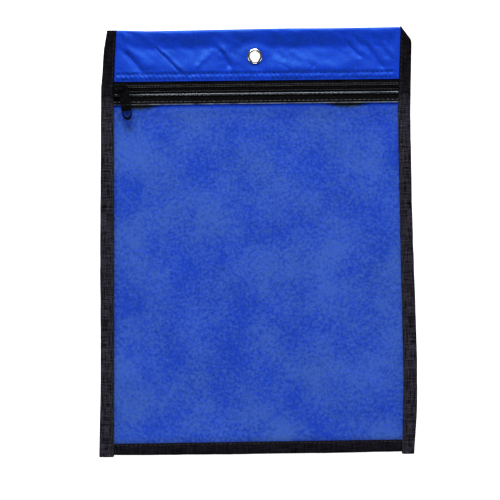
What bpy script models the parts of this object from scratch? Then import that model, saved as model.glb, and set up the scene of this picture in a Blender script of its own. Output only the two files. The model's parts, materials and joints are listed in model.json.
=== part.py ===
"""Zippered deposit bag with a clear front window, lying flat on its back.

Frame: +X across the bag, +Y along it towards the folded header, +Z out of the
front. The origin is at the middle of the footprint, on the surface it lies on.
Units are metres. The layers are stacked from the back with one clearance
between neighbours, so the zipper slider runs the whole chain without touching.
"""

import math

import bmesh
import bpy
from mathutils import Vector

MM = 0.001

# Overall size
WIDTH = 280 * MM
LENGTH = 380.6 * MM  # header fold to the ends of the side bindings
GAP = 0.3 * MM  # clearance between pieces that touch on the real bag

# Nylon back, folded over the top edge to make the header
NYLON_THICK = 0.4 * MM
HEADER_DEPTH = 46.4 * MM

# Clear vinyl front
VINYL_THICK = 0.4 * MM

# Edge binding, folded round the raw edges
BINDING_THICK = 0.6 * MM
BINDING_CORNER = 1.2 * MM  # radius of the fold's two corners
SIDE_BINDING_FACE = 12 * MM
BOTTOM_BINDING_FACE = 11 * MM
BINDING_TAIL = 2 * MM  # the side bindings run on past the bottom binding

# Coil zipper
CHAIN_BELOW_FACING = 7.2 * MM  # facing's lower edge to the chain's centre line
TAPE_THICK = 0.5 * MM
TAPE_HALF = 13.2 * MM  # chain centre to a tape's outer edge
CHAIN_SLOT = 1.3 * MM  # between the two coils and the two tapes
COIL_WIDTH = 2.5 * MM
COIL_HEIGHT = 2 * MM
COIL_WALL = 0.35 * MM
COIL_THREAD_R = 0.2 * MM

# Slider: two wings joined by a neck, guide flanges and a bail on top
SLIDER_LENGTH = 13.4 * MM
SLIDER_FLARE = 0.2 * MM  # the front shoulders are wider than the rear
SLIDER_NOSE_R = 2.2 * MM
SLIDER_TAIL_R = 1 * MM
LOWER_WING_THICK = 0.8 * MM
UPPER_WING_THICK = 1 * MM
FLANGE_WIDTH = 0.9 * MM
WING_EDGE = 0.15 * MM  # the wings stand out past the flanges
FLANGE_FRONT = 2.7 * MM  # slider's front end to the flanges
FLANGE_REAR = 1.6 * MM  # flanges to the slider's rear end
NECK_FRONT = 1 * MM  # slider's front end to the neck
NECK_LENGTH = 3 * MM
BAIL_THICK = 1.4 * MM
BAIL_WIDTH = 1.8 * MM
BAIL_SIDE_CLEAR = 1.25 * MM  # pull's edge to the bail's front post
BAIL_REAR = 2.9 * MM  # rear post's centre to the slider's rear end

# Pull tab, a flat stamping with a round eye and a ring end
PULL_THICK = 1.3 * MM
PULL_HALF = 4.45 * MM
PULL_REACH = 27.5 * MM  # eye centre to the ring's tip
PULL_EYE_CLEAR = 0.45 * MM  # eye to the bail post's corners
PULL_RING_SIDE = 1.15 * MM  # hole to the ring's sides
PULL_HOLE_DEPTH = 5.6 * MM
PULL_HOLE_CORNER = 1.2 * MM  # straight sides below the hole's flat top
PULL_RING_END = 2.4 * MM  # hole to the ring's tip
PULL_DROOP = math.radians(2.5)
PULL_LEAN = math.radians(7.5)

# Eyelet through both layers of the header, with a washer behind
EYELET_FROM_FOLD = 25 * MM
EYELET_BORE_R = 4.4 * MM
EYELET_WALL = 0.5 * MM
EYELET_FLANGE_WIDTH = 2.6 * MM
EYELET_FLANGE_HEIGHT = 1 * MM
EYELET_RIM = 0.2 * MM  # height of the flange's upright edge
EYELET_LIP_WIDTH = 1.1 * MM  # rolled out past the barrel
EYELET_LIP_THICK = 0.4 * MM
WASHER_THICK = 0.4 * MM

# Sewing thread, each row a bead along its seam
THREAD_R = 0.25 * MM
HEADER_ROW_OVER_TAPE = 0.6 * MM  # above the upper tape's outer edge
HEADER_ROW_IN = 1.3 * MM  # from the facing's lower edge
WINDOW_ROW_IN = 1.3 * MM  # from the window's top edge
WINDOW_ROW_ON_TAPE = 2.1 * MM  # from the lower tape's outer edge
BINDING_ROW_IN = 1.6 * MM  # from the binding's inner edge

# Layers, from the surface upwards
WASHER_Z = EYELET_LIP_THICK + GAP
BACK_Z = max(BINDING_THICK, WASHER_Z + WASHER_THICK) + GAP
LOWER_WING_Z = BACK_Z + NYLON_THICK + GAP
TAPE_Z = LOWER_WING_Z + LOWER_WING_THICK + GAP
FRONT_Z = TAPE_Z + TAPE_THICK + GAP
BINDING_TOP_Z = FRONT_Z + max(NYLON_THICK, VINYL_THICK) + GAP
COIL_TOP_Z = FRONT_Z + COIL_HEIGHT
FLANGE_Z = max(BINDING_TOP_Z, FRONT_Z + 2 * COIL_THREAD_R + GAP)
UPPER_WING_Z = COIL_TOP_Z + GAP

# Across the chain, from its centre line
CHAIN_HALF = CHAIN_SLOT / 2 + COIL_WIDTH
COIL_THREAD_AT = CHAIN_HALF + GAP + COIL_THREAD_R
WINDOW_AT = COIL_THREAD_AT + COIL_THREAD_R + GAP
FLANGE_AT = CHAIN_HALF + GAP
SLIDER_REAR_HALF = FLANGE_AT + FLANGE_WIDTH + WING_EDGE
SLIDER_HALF = SLIDER_REAR_HALF + SLIDER_FLARE
PULL_Z = UPPER_WING_Z + UPPER_WING_THICK + GAP + SLIDER_HALF * math.tan(PULL_DROOP)

# Lines across and along the bag
TOP_Y = LENGTH / 2
BOTTOM_Y = -LENGTH / 2 + BINDING_TAIL
FACING_Y = TOP_Y - HEADER_DEPTH
CHAIN_Y = FACING_Y - CHAIN_BELOW_FACING
WINDOW_TOP_Y = CHAIN_Y - WINDOW_AT
EYELET_Y = TOP_Y - EYELET_FROM_FOLD
LAYER_HALF = WIDTH / 2 - BINDING_THICK - GAP
LAYER_BOTTOM_Y = BOTTOM_Y + BINDING_THICK + GAP
SIDE_INNER = WIDTH / 2 - SIDE_BINDING_FACE
SLIDER_X = -SIDE_INNER + GAP + SLIDER_LENGTH / 2
POST_X = SLIDER_X + SLIDER_LENGTH / 2 - BAIL_REAR

BAG = bpy.data.collections.new("deposit_bag")
TOOLS = bpy.data.collections.new("cutters")


def clear_scene():
    for old in list(bpy.data.objects):
        bpy.data.objects.remove(old, do_unlink=True)
    for collection in (BAG, TOOLS):
        bpy.context.scene.collection.children.link(collection)


def finish(name, colour, roughness, metallic=0.0):
    mat = bpy.data.materials.new(name)
    mat.use_nodes = True
    shader = mat.node_tree.nodes["Principled BSDF"]
    shader.inputs["Base Color"].default_value = (*colour, 1.0)
    shader.inputs["Roughness"].default_value = roughness
    shader.inputs["Metallic"].default_value = metallic
    return mat


NYLON = finish("royal_blue_nylon", (0.010, 0.055, 0.42), 0.5)
VINYL = finish("clear_vinyl", (0.05, 0.12, 0.50), 0.25)
WEBBING = finish("black_binding", (0.012, 0.011, 0.012), 0.7)
TAPE = finish("black_zipper_tape", (0.010, 0.010, 0.011), 0.75)
COIL = finish("black_nylon_coil", (0.006, 0.006, 0.007), 0.3)
THREAD = finish("black_thread", (0.015, 0.015, 0.016), 0.6)
HEADER_THREAD = finish("blue_thread", (0.012, 0.06, 0.40), 0.6)
ENAMEL = finish("black_enamel", (0.008, 0.008, 0.009), 0.3, 0.2)
NICKEL = finish("bright_nickel", (0.78, 0.77, 0.75), 0.15, 1.0)


def place(name, data, mat, collection=BAG):
    piece = bpy.data.objects.new(name, data)
    collection.objects.link(piece)
    if mat:
        data.materials.append(mat)
    if collection is TOOLS:
        piece.hide_render = True
        piece.display_type = "WIRE"
    return piece


def mesh_of(bm, name):
    data = bpy.data.meshes.new(name)
    bm.to_mesh(data)
    bm.free()
    return data


def slab(name, low, high, mat, collection=BAG):
    """A box between two corners."""
    low, high = Vector(low), Vector(high)
    bm = bmesh.new()
    bmesh.ops.create_cube(bm, size=1.0)
    bmesh.ops.scale(bm, vec=high - low, verts=bm.verts)
    bmesh.ops.translate(bm, vec=(low + high) / 2, verts=bm.verts)
    return place(name, mesh_of(bm, name), mat, collection)


def arc(centre, radius, start, stop, steps):
    """Points of an arc in degrees, both ends included."""
    turn = [math.radians(start + (stop - start) * i / steps) for i in range(steps + 1)]
    return [(centre[0] + radius * math.cos(a), centre[1] + radius * math.sin(a)) for a in turn]


def folded_sheet(name, path, start, sweep, thickness, mat):
    """An open strip along a path of 3D points, swept sideways and given its thickness."""
    bm = bmesh.new()
    verts = [bm.verts.new(Vector(point) + Vector(start)) for point in path]
    edges = [bm.edges.new(pair) for pair in zip(verts, verts[1:])]
    swept = bmesh.ops.extrude_edge_only(bm, edges=edges)["geom"]
    moved = [v for v in swept if isinstance(v, bmesh.types.BMVert)]
    bmesh.ops.translate(bm, vec=sweep, verts=moved)
    piece = place(name, mesh_of(bm, name), mat)
    wall = piece.modifiers.new("wall", "SOLIDIFY")
    wall.thickness = thickness
    wall.offset = 0
    wall.use_even_offset = True
    return piece


def outline_plate(name, loops, half_thickness, mat, collection=BAG):
    """A flat plate from closed outlines, the first outside and the rest holes, as a mesh."""
    curve = bpy.data.curves.new(name + "_outline", "CURVE")
    curve.dimensions = "2D"
    curve.fill_mode = "BOTH"
    curve.extrude = half_thickness
    for loop in loops:
        spline = curve.splines.new("POLY")
        spline.points.add(len(loop) - 1)
        for point, (x, y) in zip(spline.points, loop):
            point.co = (x, y, 0, 1)
        spline.use_cyclic_u = True
    guide = bpy.data.objects.new(name + "_outline", curve)
    bpy.context.scene.collection.objects.link(guide)
    evaluated = guide.evaluated_get(bpy.context.evaluated_depsgraph_get())
    data = bpy.data.meshes.new_from_object(evaluated)
    bpy.data.objects.remove(guide, do_unlink=True)
    bm = bmesh.new()
    bm.from_mesh(data)
    bmesh.ops.remove_doubles(bm, verts=bm.verts, dist=0.00001)
    bmesh.ops.recalc_face_normals(bm, faces=bm.faces)
    bpy.data.meshes.remove(data)
    return place(name, mesh_of(bm, name), mat, collection)


def turned(name, profile, centre, mat, steps=40):
    """A ring turned about Z from a closed profile of (radius, height)."""
    bm = bmesh.new()
    verts = [bm.verts.new((r, 0, z)) for r, z in profile]
    for a, b in zip(verts, verts[1:] + verts[:1]):
        bm.edges.new((a, b))
    piece = place(name, mesh_of(bm, name), mat)
    piece.location = centre
    screw = piece.modifiers.new("turn", "SCREW")
    screw.steps = steps
    screw.render_steps = steps
    screw.use_merge_vertices = True
    screw.merge_threshold = 0.00001
    screw.use_smooth_shade = True
    return piece


def thread_row(name, start, stop, radius, mat):
    """One row of stitching as a bead between two points."""
    curve = bpy.data.curves.new(name, "CURVE")
    curve.dimensions = "3D"
    curve.bevel_depth = radius
    curve.bevel_resolution = 1
    curve.use_fill_caps = True
    spline = curve.splines.new("POLY")
    spline.points.add(1)
    spline.points[0].co = (*start, 1)
    spline.points[1].co = (*stop, 1)
    return place(name, curve, mat)


def joined(piece, others, operation):
    """Adds the other solids to a piece, or cuts them out of it."""
    for other in others:
        boolean = piece.modifiers.new(other.name, "BOOLEAN")
        boolean.operation = operation
        boolean.solver = "EXACT"
        boolean.object = other


def drum(name, radius, low, high, x, y):
    """A round cutter between two heights."""
    bm = bmesh.new()
    bmesh.ops.create_cone(
        bm, cap_ends=True, segments=40, radius1=radius, radius2=radius, depth=high - low
    )
    bmesh.ops.translate(bm, vec=(x, y, (low + high) / 2), verts=bm.verts)
    return place(name, mesh_of(bm, name), None, TOOLS)


# Panels


def back_panel():
    """One nylon sheet: the back, folded at the top and hemmed down as the header's facing."""
    back_mid = BACK_Z + NYLON_THICK / 2
    facing_mid = FRONT_Z + NYLON_THICK / 2
    fold_r = (facing_mid - back_mid) / 2
    fold_y = TOP_Y - NYLON_THICK / 2 - fold_r
    fold = arc((fold_y, back_mid + fold_r), fold_r, -90, 90, 8)
    section = [(LAYER_BOTTOM_Y, back_mid)] + fold + [(FACING_Y, facing_mid)]
    path = [(0, y, z) for y, z in section]
    sheet = folded_sheet(
        "back_panel", path, (-LAYER_HALF, 0, 0), (2 * LAYER_HALF, 0, 0), NYLON_THICK, NYLON
    )
    hole_r = EYELET_BORE_R + EYELET_WALL + GAP
    top = FRONT_Z + NYLON_THICK + GAP
    joined(sheet, [drum("eyelet_hole", hole_r, 0, top, 0, EYELET_Y)], "DIFFERENCE")


def front_window():
    slab(
        "front_window",
        (-LAYER_HALF, LAYER_BOTTOM_Y, FRONT_Z),
        (LAYER_HALF, WINDOW_TOP_Y, FRONT_Z + VINYL_THICK),
        VINYL,
    )


# Edge binding


def binding_section(inner, outer):
    """A folded strip's middle line, as (across, height), from the lower leg to the upper one."""
    corner = BINDING_CORNER
    half = BINDING_THICK / 2
    edge = outer - half
    low, high = half, BINDING_TOP_Z + half
    lower = arc((edge - corner, low + corner), corner, -90, 0, 4)
    upper = arc((edge - corner, high - corner), corner, 0, 90, 4)
    return [(inner, low)] + lower + upper + [(inner, high)]


def side_binding(name, side):
    section = binding_section(SIDE_INNER, WIDTH / 2)
    path = [(side * x, 0, z) for x, z in section]
    folded_sheet(name, path, (0, -LENGTH / 2, 0), (0, LENGTH, 0), BINDING_THICK, WEBBING)


def bottom_binding():
    section = binding_section(-(BOTTOM_Y + BOTTOM_BINDING_FACE), -BOTTOM_Y)
    path = [(0, -y, z) for y, z in section]
    reach = SIDE_INNER - GAP
    folded_sheet(
        "bottom_binding", path, (-reach, 0, 0), (2 * reach, 0, 0), BINDING_THICK, WEBBING
    )


# Coil zipper


def zipper_side(name, side):
    """One half of the chain: its tape, hollow coil, filler cord and coil thread."""
    inner = CHAIN_SLOT / 2
    middle = (inner + CHAIN_HALF) / 2

    def span(near, far):
        return sorted((CHAIN_Y + side * near, CHAIN_Y + side * far))

    y0, y1 = span(inner, TAPE_HALF)
    slab(
        name + "_zipper_tape",
        (-LAYER_HALF, y0, TAPE_Z),
        (LAYER_HALF, y1, TAPE_Z + TAPE_THICK),
        TAPE,
    )
    reach = SIDE_INNER - GAP
    y0, y1 = span(inner, CHAIN_HALF)
    coil = slab(name + "_coil", (-reach, y0, FRONT_Z), (reach, y1, COIL_TOP_Z), COIL)
    core = slab(
        name + "_coil_core",
        (-reach - GAP, y0 + COIL_WALL, FRONT_Z + COIL_WALL),
        (reach + GAP, y1 - COIL_WALL, COIL_TOP_Z - COIL_WALL),
        None,
        TOOLS,
    )
    joined(coil, [core], "DIFFERENCE")
    cord_r = min(COIL_WIDTH, COIL_HEIGHT) / 2 - COIL_WALL - GAP
    cord_y = CHAIN_Y + side * middle
    cord_z = FRONT_Z + COIL_HEIGHT / 2
    thread_row(name + "_coil_cord", (-reach, cord_y, cord_z), (reach, cord_y, cord_z), cord_r, TAPE)
    thread_y = CHAIN_Y + side * COIL_THREAD_AT
    thread_z = FRONT_Z + COIL_THREAD_R
    thread_row(
        name + "_coil_thread",
        (-reach, thread_y, thread_z),
        (reach, thread_y, thread_z),
        COIL_THREAD_R,
        THREAD,
    )


def wing_outline():
    """A slider wing in plan: wide round shoulders in front, narrower at the rear."""
    front, rear = -SLIDER_LENGTH / 2, SLIDER_LENGTH / 2
    nose, tail = SLIDER_NOSE_R, SLIDER_TAIL_R
    half = arc((front + nose, SLIDER_HALF - nose), nose, 180, 90, 6)
    half += arc((rear - tail, SLIDER_REAR_HALF - tail), tail, 90, 0, 4)
    return half + [(x, -y) for x, y in reversed(half)]


def slider():
    lower = outline_plate("slider_body", [wing_outline()], LOWER_WING_THICK / 2, ENAMEL)
    lower.location = (SLIDER_X, CHAIN_Y, LOWER_WING_Z + LOWER_WING_THICK / 2)
    upper = outline_plate("upper_wing", [wing_outline()], UPPER_WING_THICK / 2, None, TOOLS)
    upper.location = (SLIDER_X, CHAIN_Y, UPPER_WING_Z + UPPER_WING_THICK / 2)

    sink = 0.2 * MM  # how far the joined shapes run into the wings
    front, rear = SLIDER_X - SLIDER_LENGTH / 2, SLIDER_X + SLIDER_LENGTH / 2
    neck_half = CHAIN_SLOT / 2 - GAP
    neck_x = front + NECK_FRONT
    neck = slab(
        "neck",
        (neck_x, CHAIN_Y - neck_half, LOWER_WING_Z + LOWER_WING_THICK - sink),
        (neck_x + NECK_LENGTH, CHAIN_Y + neck_half, UPPER_WING_Z + sink),
        None,
        TOOLS,
    )
    parts = [neck, upper]
    for side, label in ((1, "upper"), (-1, "lower")):
        near = CHAIN_Y + side * FLANGE_AT
        far = CHAIN_Y + side * (FLANGE_AT + FLANGE_WIDTH)
        flange = slab(
            label + "_flange",
            (front + FLANGE_FRONT, min(near, far), FLANGE_Z),
            (rear - FLANGE_REAR, max(near, far), UPPER_WING_Z + sink),
            None,
            TOOLS,
        )
        parts.append(flange)

    # The bail is an arch along the slider, its rear post the pull's pivot
    wing_top = UPPER_WING_Z + UPPER_WING_THICK
    crown_low = PULL_Z + PULL_THICK + PULL_HALF * math.sin(PULL_DROOP) + GAP
    rear_x = POST_X + BAIL_THICK / 2
    front_x = POST_X - PULL_HALF - BAIL_SIDE_CLEAR - BAIL_THICK
    crown_high = crown_low + BAIL_THICK * 0.75
    outer_r, inner_r = 1.3 * MM, 0.4 * MM
    outer = [(front_x, wing_top - sink)]
    outer += arc((front_x + outer_r, crown_high - outer_r), outer_r, 180, 90, 5)
    outer += arc((rear_x - outer_r, crown_high - outer_r), outer_r, 90, 0, 5)
    outer += [(rear_x, wing_top - sink), (rear_x - BAIL_THICK, wing_top - sink)]
    window_r, window_l = rear_x - BAIL_THICK, front_x + BAIL_THICK
    outer += arc((window_r - inner_r, crown_low - inner_r), inner_r, 0, 90, 3)
    outer += arc((window_l + inner_r, crown_low - inner_r), inner_r, 90, 180, 3)
    outer += [(window_l, wing_top - sink)]
    bail = outline_plate("bail", [outer], BAIL_WIDTH / 2, None, TOOLS)
    bail.rotation_euler = (math.pi / 2, 0, 0)
    bail.location = (0, CHAIN_Y, 0)
    parts.append(bail)
    joined(lower, parts, "UNION")
    return lower


def pull_tab(slider_body):
    """A flat tab: round eye about the bail's rear post, D-shaped hole in a ring end."""
    eye_r = math.hypot(BAIL_THICK, BAIL_WIDTH) / 2 + PULL_EYE_CLEAR
    tip = -PULL_REACH
    ring_y = tip + PULL_RING_END + PULL_HOLE_DEPTH
    outer = arc((0, 0), PULL_HALF, 0, 180, 16)
    shoulder = ring_y - PULL_HOLE_CORNER
    drop = shoulder - tip
    for i in range(13):
        a = math.pi * i / 12
        outer.append((-PULL_HALF * math.cos(a), shoulder - drop * math.sin(a)))
    eye = arc((0, 0), eye_r, 0, 345, 23)
    hole_half = PULL_HALF - PULL_RING_SIDE
    hole = [(-hole_half, ring_y), (hole_half, ring_y)]
    squeeze = PULL_HOLE_DEPTH - PULL_HOLE_CORNER
    for i in range(11):
        a = math.pi * i / 10
        hole.append((hole_half * math.cos(a), shoulder - squeeze * math.sin(a)))
    tab = outline_plate("pull_tab", [outer, eye, hole], PULL_THICK / 2, ENAMEL)
    pivot = bpy.data.objects.new("pull_pivot", None)
    BAG.objects.link(pivot)
    pivot.location = (POST_X, CHAIN_Y, PULL_Z + PULL_THICK / 2)
    tab.parent = pivot
    tab.rotation_euler = (PULL_DROOP, 0, PULL_LEAN)


# Eyelet


def eyelet():
    bore, barrel = EYELET_BORE_R, EYELET_BORE_R + EYELET_WALL
    flange_r, lip_r = bore + EYELET_FLANGE_WIDTH, barrel + EYELET_LIP_WIDTH
    face = FRONT_Z + NYLON_THICK + GAP
    crown, rise = EYELET_FLANGE_WIDTH / 2, EYELET_FLANGE_HEIGHT - EYELET_RIM
    profile = []
    for i in range(11):
        a = math.pi * i / 10
        profile.append((bore + crown - crown * math.cos(a), face + EYELET_RIM + rise * math.sin(a)))
    profile += [(flange_r, face), (barrel, face), (barrel, EYELET_LIP_THICK)]
    profile += [(lip_r, EYELET_LIP_THICK), (lip_r, 0), (bore, 0)]
    turned("eyelet", profile, (0, EYELET_Y, 0), NICKEL)
    inner = barrel + GAP
    washer = [
        (inner, WASHER_Z + WASHER_THICK),
        (flange_r, WASHER_Z + WASHER_THICK),
        (flange_r, WASHER_Z),
        (inner, WASHER_Z),
    ]
    turned("eyelet_washer", washer, (0, EYELET_Y, 0), NICKEL)


# Stitching


def seams():
    face_z = FRONT_Z + max(NYLON_THICK, VINYL_THICK) + GAP + THREAD_R
    reach = SIDE_INNER - GAP - THREAD_R
    across = (
        ("header_upper_seam", CHAIN_Y + TAPE_HALF + HEADER_ROW_OVER_TAPE, HEADER_THREAD),
        ("header_lower_seam", FACING_Y + HEADER_ROW_IN, HEADER_THREAD),
        ("window_upper_seam", WINDOW_TOP_Y - WINDOW_ROW_IN, THREAD),
        ("window_lower_seam", CHAIN_Y - TAPE_HALF + WINDOW_ROW_ON_TAPE, THREAD),
    )
    for name, y, mat in across:
        thread_row(name, (-reach, y, face_z), (reach, y, face_z), THREAD_R, mat)

    bound_z = BINDING_TOP_Z + BINDING_THICK + GAP + THREAD_R
    seam_x = SIDE_INNER + BINDING_ROW_IN
    for name, side in (("left_binding_seam", -1), ("right_binding_seam", 1)):
        x = side * seam_x
        thread_row(name, (x, -LENGTH / 2, bound_z), (x, LENGTH / 2, bound_z), THREAD_R, THREAD)
    seam_y = BOTTOM_Y + BOTTOM_BINDING_FACE - BINDING_ROW_IN
    thread_row(
        "bottom_binding_seam", (-reach, seam_y, bound_z), (reach, seam_y, bound_z), THREAD_R, THREAD
    )


clear_scene()
back_panel()
front_window()
side_binding("left_binding", -1)
side_binding("right_binding", 1)
bottom_binding()
zipper_side("upper", 1)
zipper_side("lower", -1)
pull_tab(slider())
eyelet()
seams()
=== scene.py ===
"""Flat zippered deposit bag, empty and lying on its back: the looks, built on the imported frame."""
import json
import math

import bpy
import numpy as np
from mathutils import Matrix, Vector


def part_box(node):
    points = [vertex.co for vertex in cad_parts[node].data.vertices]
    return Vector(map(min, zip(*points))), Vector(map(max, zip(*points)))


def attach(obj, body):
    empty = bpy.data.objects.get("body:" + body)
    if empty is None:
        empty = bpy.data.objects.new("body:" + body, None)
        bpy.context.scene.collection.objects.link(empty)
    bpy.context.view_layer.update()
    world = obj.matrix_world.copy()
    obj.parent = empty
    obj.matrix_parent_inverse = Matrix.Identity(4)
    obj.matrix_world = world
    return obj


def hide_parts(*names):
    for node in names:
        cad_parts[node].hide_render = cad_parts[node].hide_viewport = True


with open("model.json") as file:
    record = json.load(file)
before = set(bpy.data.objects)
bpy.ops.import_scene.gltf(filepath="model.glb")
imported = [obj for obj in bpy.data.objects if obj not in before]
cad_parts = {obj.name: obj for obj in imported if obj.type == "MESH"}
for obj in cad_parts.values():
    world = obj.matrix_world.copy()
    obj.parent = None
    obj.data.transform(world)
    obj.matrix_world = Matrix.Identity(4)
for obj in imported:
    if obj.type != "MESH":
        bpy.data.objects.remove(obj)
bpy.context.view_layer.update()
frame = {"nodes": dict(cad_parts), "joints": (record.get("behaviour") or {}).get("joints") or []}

# Studio ------------------------------------------------------------------------------
# A white table under one broad soft light beyond the header, with weaker fills on the
# other sides and nothing bright overhead. The camera looks straight down at the bag.

MM = 0.001
TABLE_SIDE = 12.0
TABLE_WHITE = (0.93, 0.93, 0.935)
TABLE_ROUGHNESS = 0.8
TABLE_CLOUD_SCALE = 9.0
TABLE_GLOW = 0.8  # lit a little from below, so the bag stands on a clean ground
SKY_GREY = (0.80, 0.85, 1.0)
SKY_STRENGTH = 0.10
CAMERA_AT = (-6.3 * MM, -7.5 * MM, 1.244)
CAMERA_TURN = math.radians(-0.65)
CAMERA_LENS = 100
# name, bearing from +X, height above the table (degrees), distance, width, height, power
LAMPS = [
    ("key_light", 95, 28, 3.0, 2.1, 1.1, 158),
    ("left_fill", 196, 30, 2.6, 1.3, 0.9, 10),
    ("right_fill", 338, 30, 2.6, 1.3, 0.9, 7),
    ("near_fill", 268, 38, 1.8, 1.0, 0.5, 8.0),
]


def node(tree, kind, inputs=None, **settings):
    """A shader node with its settings; an input takes a value or another node's output."""
    made = tree.nodes.new(kind)
    for key, value in settings.items():
        setattr(made, key, value)
    for key, value in (inputs or {}).items():
        if isinstance(value, bpy.types.NodeSocket):
            tree.links.new(value, made.inputs[key])
        else:
            made.inputs[key].default_value = value
    return made


def maths(tree, operation, *values, clamp=False):
    """One step of arithmetic on numbers or other nodes' outputs; returns its result."""
    inputs = dict(enumerate(values))
    return node(tree, "ShaderNodeMath", inputs, operation=operation, use_clamp=clamp).outputs[0]


def rescale(tree, value, to, span=(0.0, 1.0)):
    """A value's span mapped onto another span, held at its ends."""
    inputs = {"Value": value, "From Min": span[0], "From Max": span[1], "To Min": to[0], "To Max": to[1]}
    return node(tree, "ShaderNodeMapRange", inputs).outputs[0]


def raised(tree, height, strength, distance):
    """Fine relief from a height mask, its depth in millimetres."""
    inputs = {"Height": height, "Strength": strength, "Distance": distance * MM}
    return node(tree, "ShaderNodeBump", inputs).outputs[0]


def material(name, sockets):
    """A Principled material with constant socket values; returns it, its tree and shader."""
    made = bpy.data.materials.new(name)
    made.use_nodes = True
    shader = made.node_tree.nodes["Principled BSDF"]
    for key, value in sockets.items():
        shader.inputs[key].default_value = value
    return made, made.node_tree, shader


def feed(tree, shader, outputs):
    """Joins outputs to a shader's sockets."""
    for socket, output in outputs.items():
        tree.links.new(output, shader.inputs[socket])


def ramp(tree, factor, stops):
    """A colour ramp of (place, colour) stops read at a factor."""
    made = node(tree, "ShaderNodeValToRGB", {"Fac": factor})
    elements = made.color_ramp.elements
    while len(elements) < len(stops):
        elements.new(0.5)
    for element, (place, colour) in zip(elements, stops):
        element.position = place
        element.color = (*colour, 1.0)
    return made.outputs["Color"]


def new_group(name, inputs, outputs):
    """An empty effect group; inputs and outputs are {socket name: socket type}."""
    group = bpy.data.node_groups.new(name, "ShaderNodeTree")
    for way, sockets in (("INPUT", inputs), ("OUTPUT", outputs)):
        for socket, kind in sockets.items():
            group.interface.new_socket(socket, in_out=way, socket_type="NodeSocket" + kind)
    return group, group.nodes.new("NodeGroupInput"), group.nodes.new("NodeGroupOutput")


def effect(tree, group, inputs):
    """An effect group placed in a material with its own values."""
    return node(tree, "ShaderNodeGroup", inputs, node_tree=group)


def cloud_group():
    """Soft uneven tone: a mask from 0 to 1 that drifts over the surface."""
    group, entry, leave = new_group(
        "uneven_tone",
        {"Vector": "Vector", "Scale": "Float", "Contrast": "Float"},
        {"Mask": "Float"},
    )
    noise = node(
        group,
        "ShaderNodeTexNoise",
        {"Vector": entry.outputs["Vector"], "Scale": entry.outputs["Scale"], "Detail": 4.0},
    )
    centred = maths(group, "SUBTRACT", noise.outputs["Fac"], 0.5)
    spread = maths(
        group, "MULTIPLY_ADD", centred, entry.outputs["Contrast"], 0.5, clamp=True
    )
    group.links.new(spread, leave.inputs["Mask"])
    return group


UNEVEN_TONE = cloud_group()


def object_place(tree):
    return node(tree, "ShaderNodeTexCoord").outputs["Object"]


bpy.ops.object.select_all(action="DESELECT")
bpy.ops.mesh.primitive_plane_add(size=TABLE_SIDE)
table = bpy.context.object
table.name = "table_top"
white, tree, shader = material(
    "matt_white_table", {"Roughness": TABLE_ROUGHNESS, "Specular IOR Level": 0.2}
)
cloud = effect(
    tree,
    UNEVEN_TONE,
    {"Vector": object_place(tree), "Scale": TABLE_CLOUD_SCALE, "Contrast": 1.0},
)
tone = ramp(
    tree,
    cloud.outputs["Mask"],
    [(0.0, tuple(0.99 * c for c in TABLE_WHITE)), (1.0, TABLE_WHITE)],
)
feed(tree, shader, {"Base Color": tone})
shader.inputs["Emission Color"].default_value = (1.0, 1.0, 1.0, 1.0)
shader.inputs["Emission Strength"].default_value = TABLE_GLOW
table.data.materials.append(white)

for name, bearing, height, distance, width, depth, power in LAMPS:
    lamp = bpy.data.lights.new(name, "AREA")
    lamp.shape = "RECTANGLE"
    lamp.size, lamp.size_y, lamp.energy = width, depth, power
    holder = bpy.data.objects.new(name, lamp)
    bpy.context.scene.collection.objects.link(holder)
    level, turn = math.radians(height), math.radians(bearing)
    direction = Vector(
        (math.cos(level) * math.cos(turn), math.cos(level) * math.sin(turn), math.sin(level))
    )
    holder.location = direction * distance
    holder.rotation_euler = (-direction).to_track_quat("-Z", "Y").to_euler()

world = bpy.data.worlds.new("studio")
bpy.context.scene.world = world
world.use_nodes = True
sky = world.node_tree.nodes["Background"]
sky.inputs["Color"].default_value = (*SKY_GREY, 1.0)
sky.inputs["Strength"].default_value = SKY_STRENGTH

camera = bpy.data.objects.new("camera", bpy.data.cameras.new("camera"))
bpy.context.scene.collection.objects.link(camera)
camera.data.lens = CAMERA_LENS
camera.data.clip_start = 0.01
camera.location = CAMERA_AT
camera.rotation_euler = (0.0, 0.0, CAMERA_TURN)
bpy.context.scene.camera = camera
bpy.context.scene.view_settings.view_transform = "Standard"

# Nylon back and header ---------------------------------------------------------------
# One sheet of royal blue coated nylon: the back, folded over the top edge and brought
# down in front as the header, its raw edge turned under. Two seams hold it to the
# upper zipper tape, and the header is creased and puckered where they pull.

eyelet_low, eyelet_high = (np.array(c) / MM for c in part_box("eyelet"))
upper_row = np.mean([c[1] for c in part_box("header_upper_seam")]) / MM
lower_row = np.mean([c[1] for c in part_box("header_lower_seam")]) / MM
EYELET = np.array([(eyelet_low[0] + eyelet_high[0]) / 2, (eyelet_low[1] + eyelet_high[1]) / 2])

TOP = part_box("back_panel")[1][1] / MM
NYLON_WALL = 0.3
BACK_HEIGHT = 1.6
FACING_HEIGHT = 4.25
HEADER_EDGE = 143.9
HEM = 7.2
HEM_RADIUS = 0.215
COLUMNS = 348
BACK_COLUMN_SHARE = 3
BACK_STEP = 4.0
FACING_STEP = 0.8
LAYER_INSET = 2.1
EYELET_CLEAR = 5.3
EYELET_CALM = 15.0
EYELET_BLOCK = 3.9
BOTTOM_CUT = -187.4
# the bag's outer edge line, from bottom to top: (along, across)
LEFT_LINE = [
    (-190, -143.2), (-122, -141.1), (-12, -140.4), (138, -137.8), (173, -134.9), (190, -132.0),
]
RIGHT_LINE = [
    (-190, 138.6), (-150, 141.6), (-105, 142.1), (35, 138.8), (112, 138.4), (178.5, 140.4),
    (191, 130.6),
]
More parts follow.
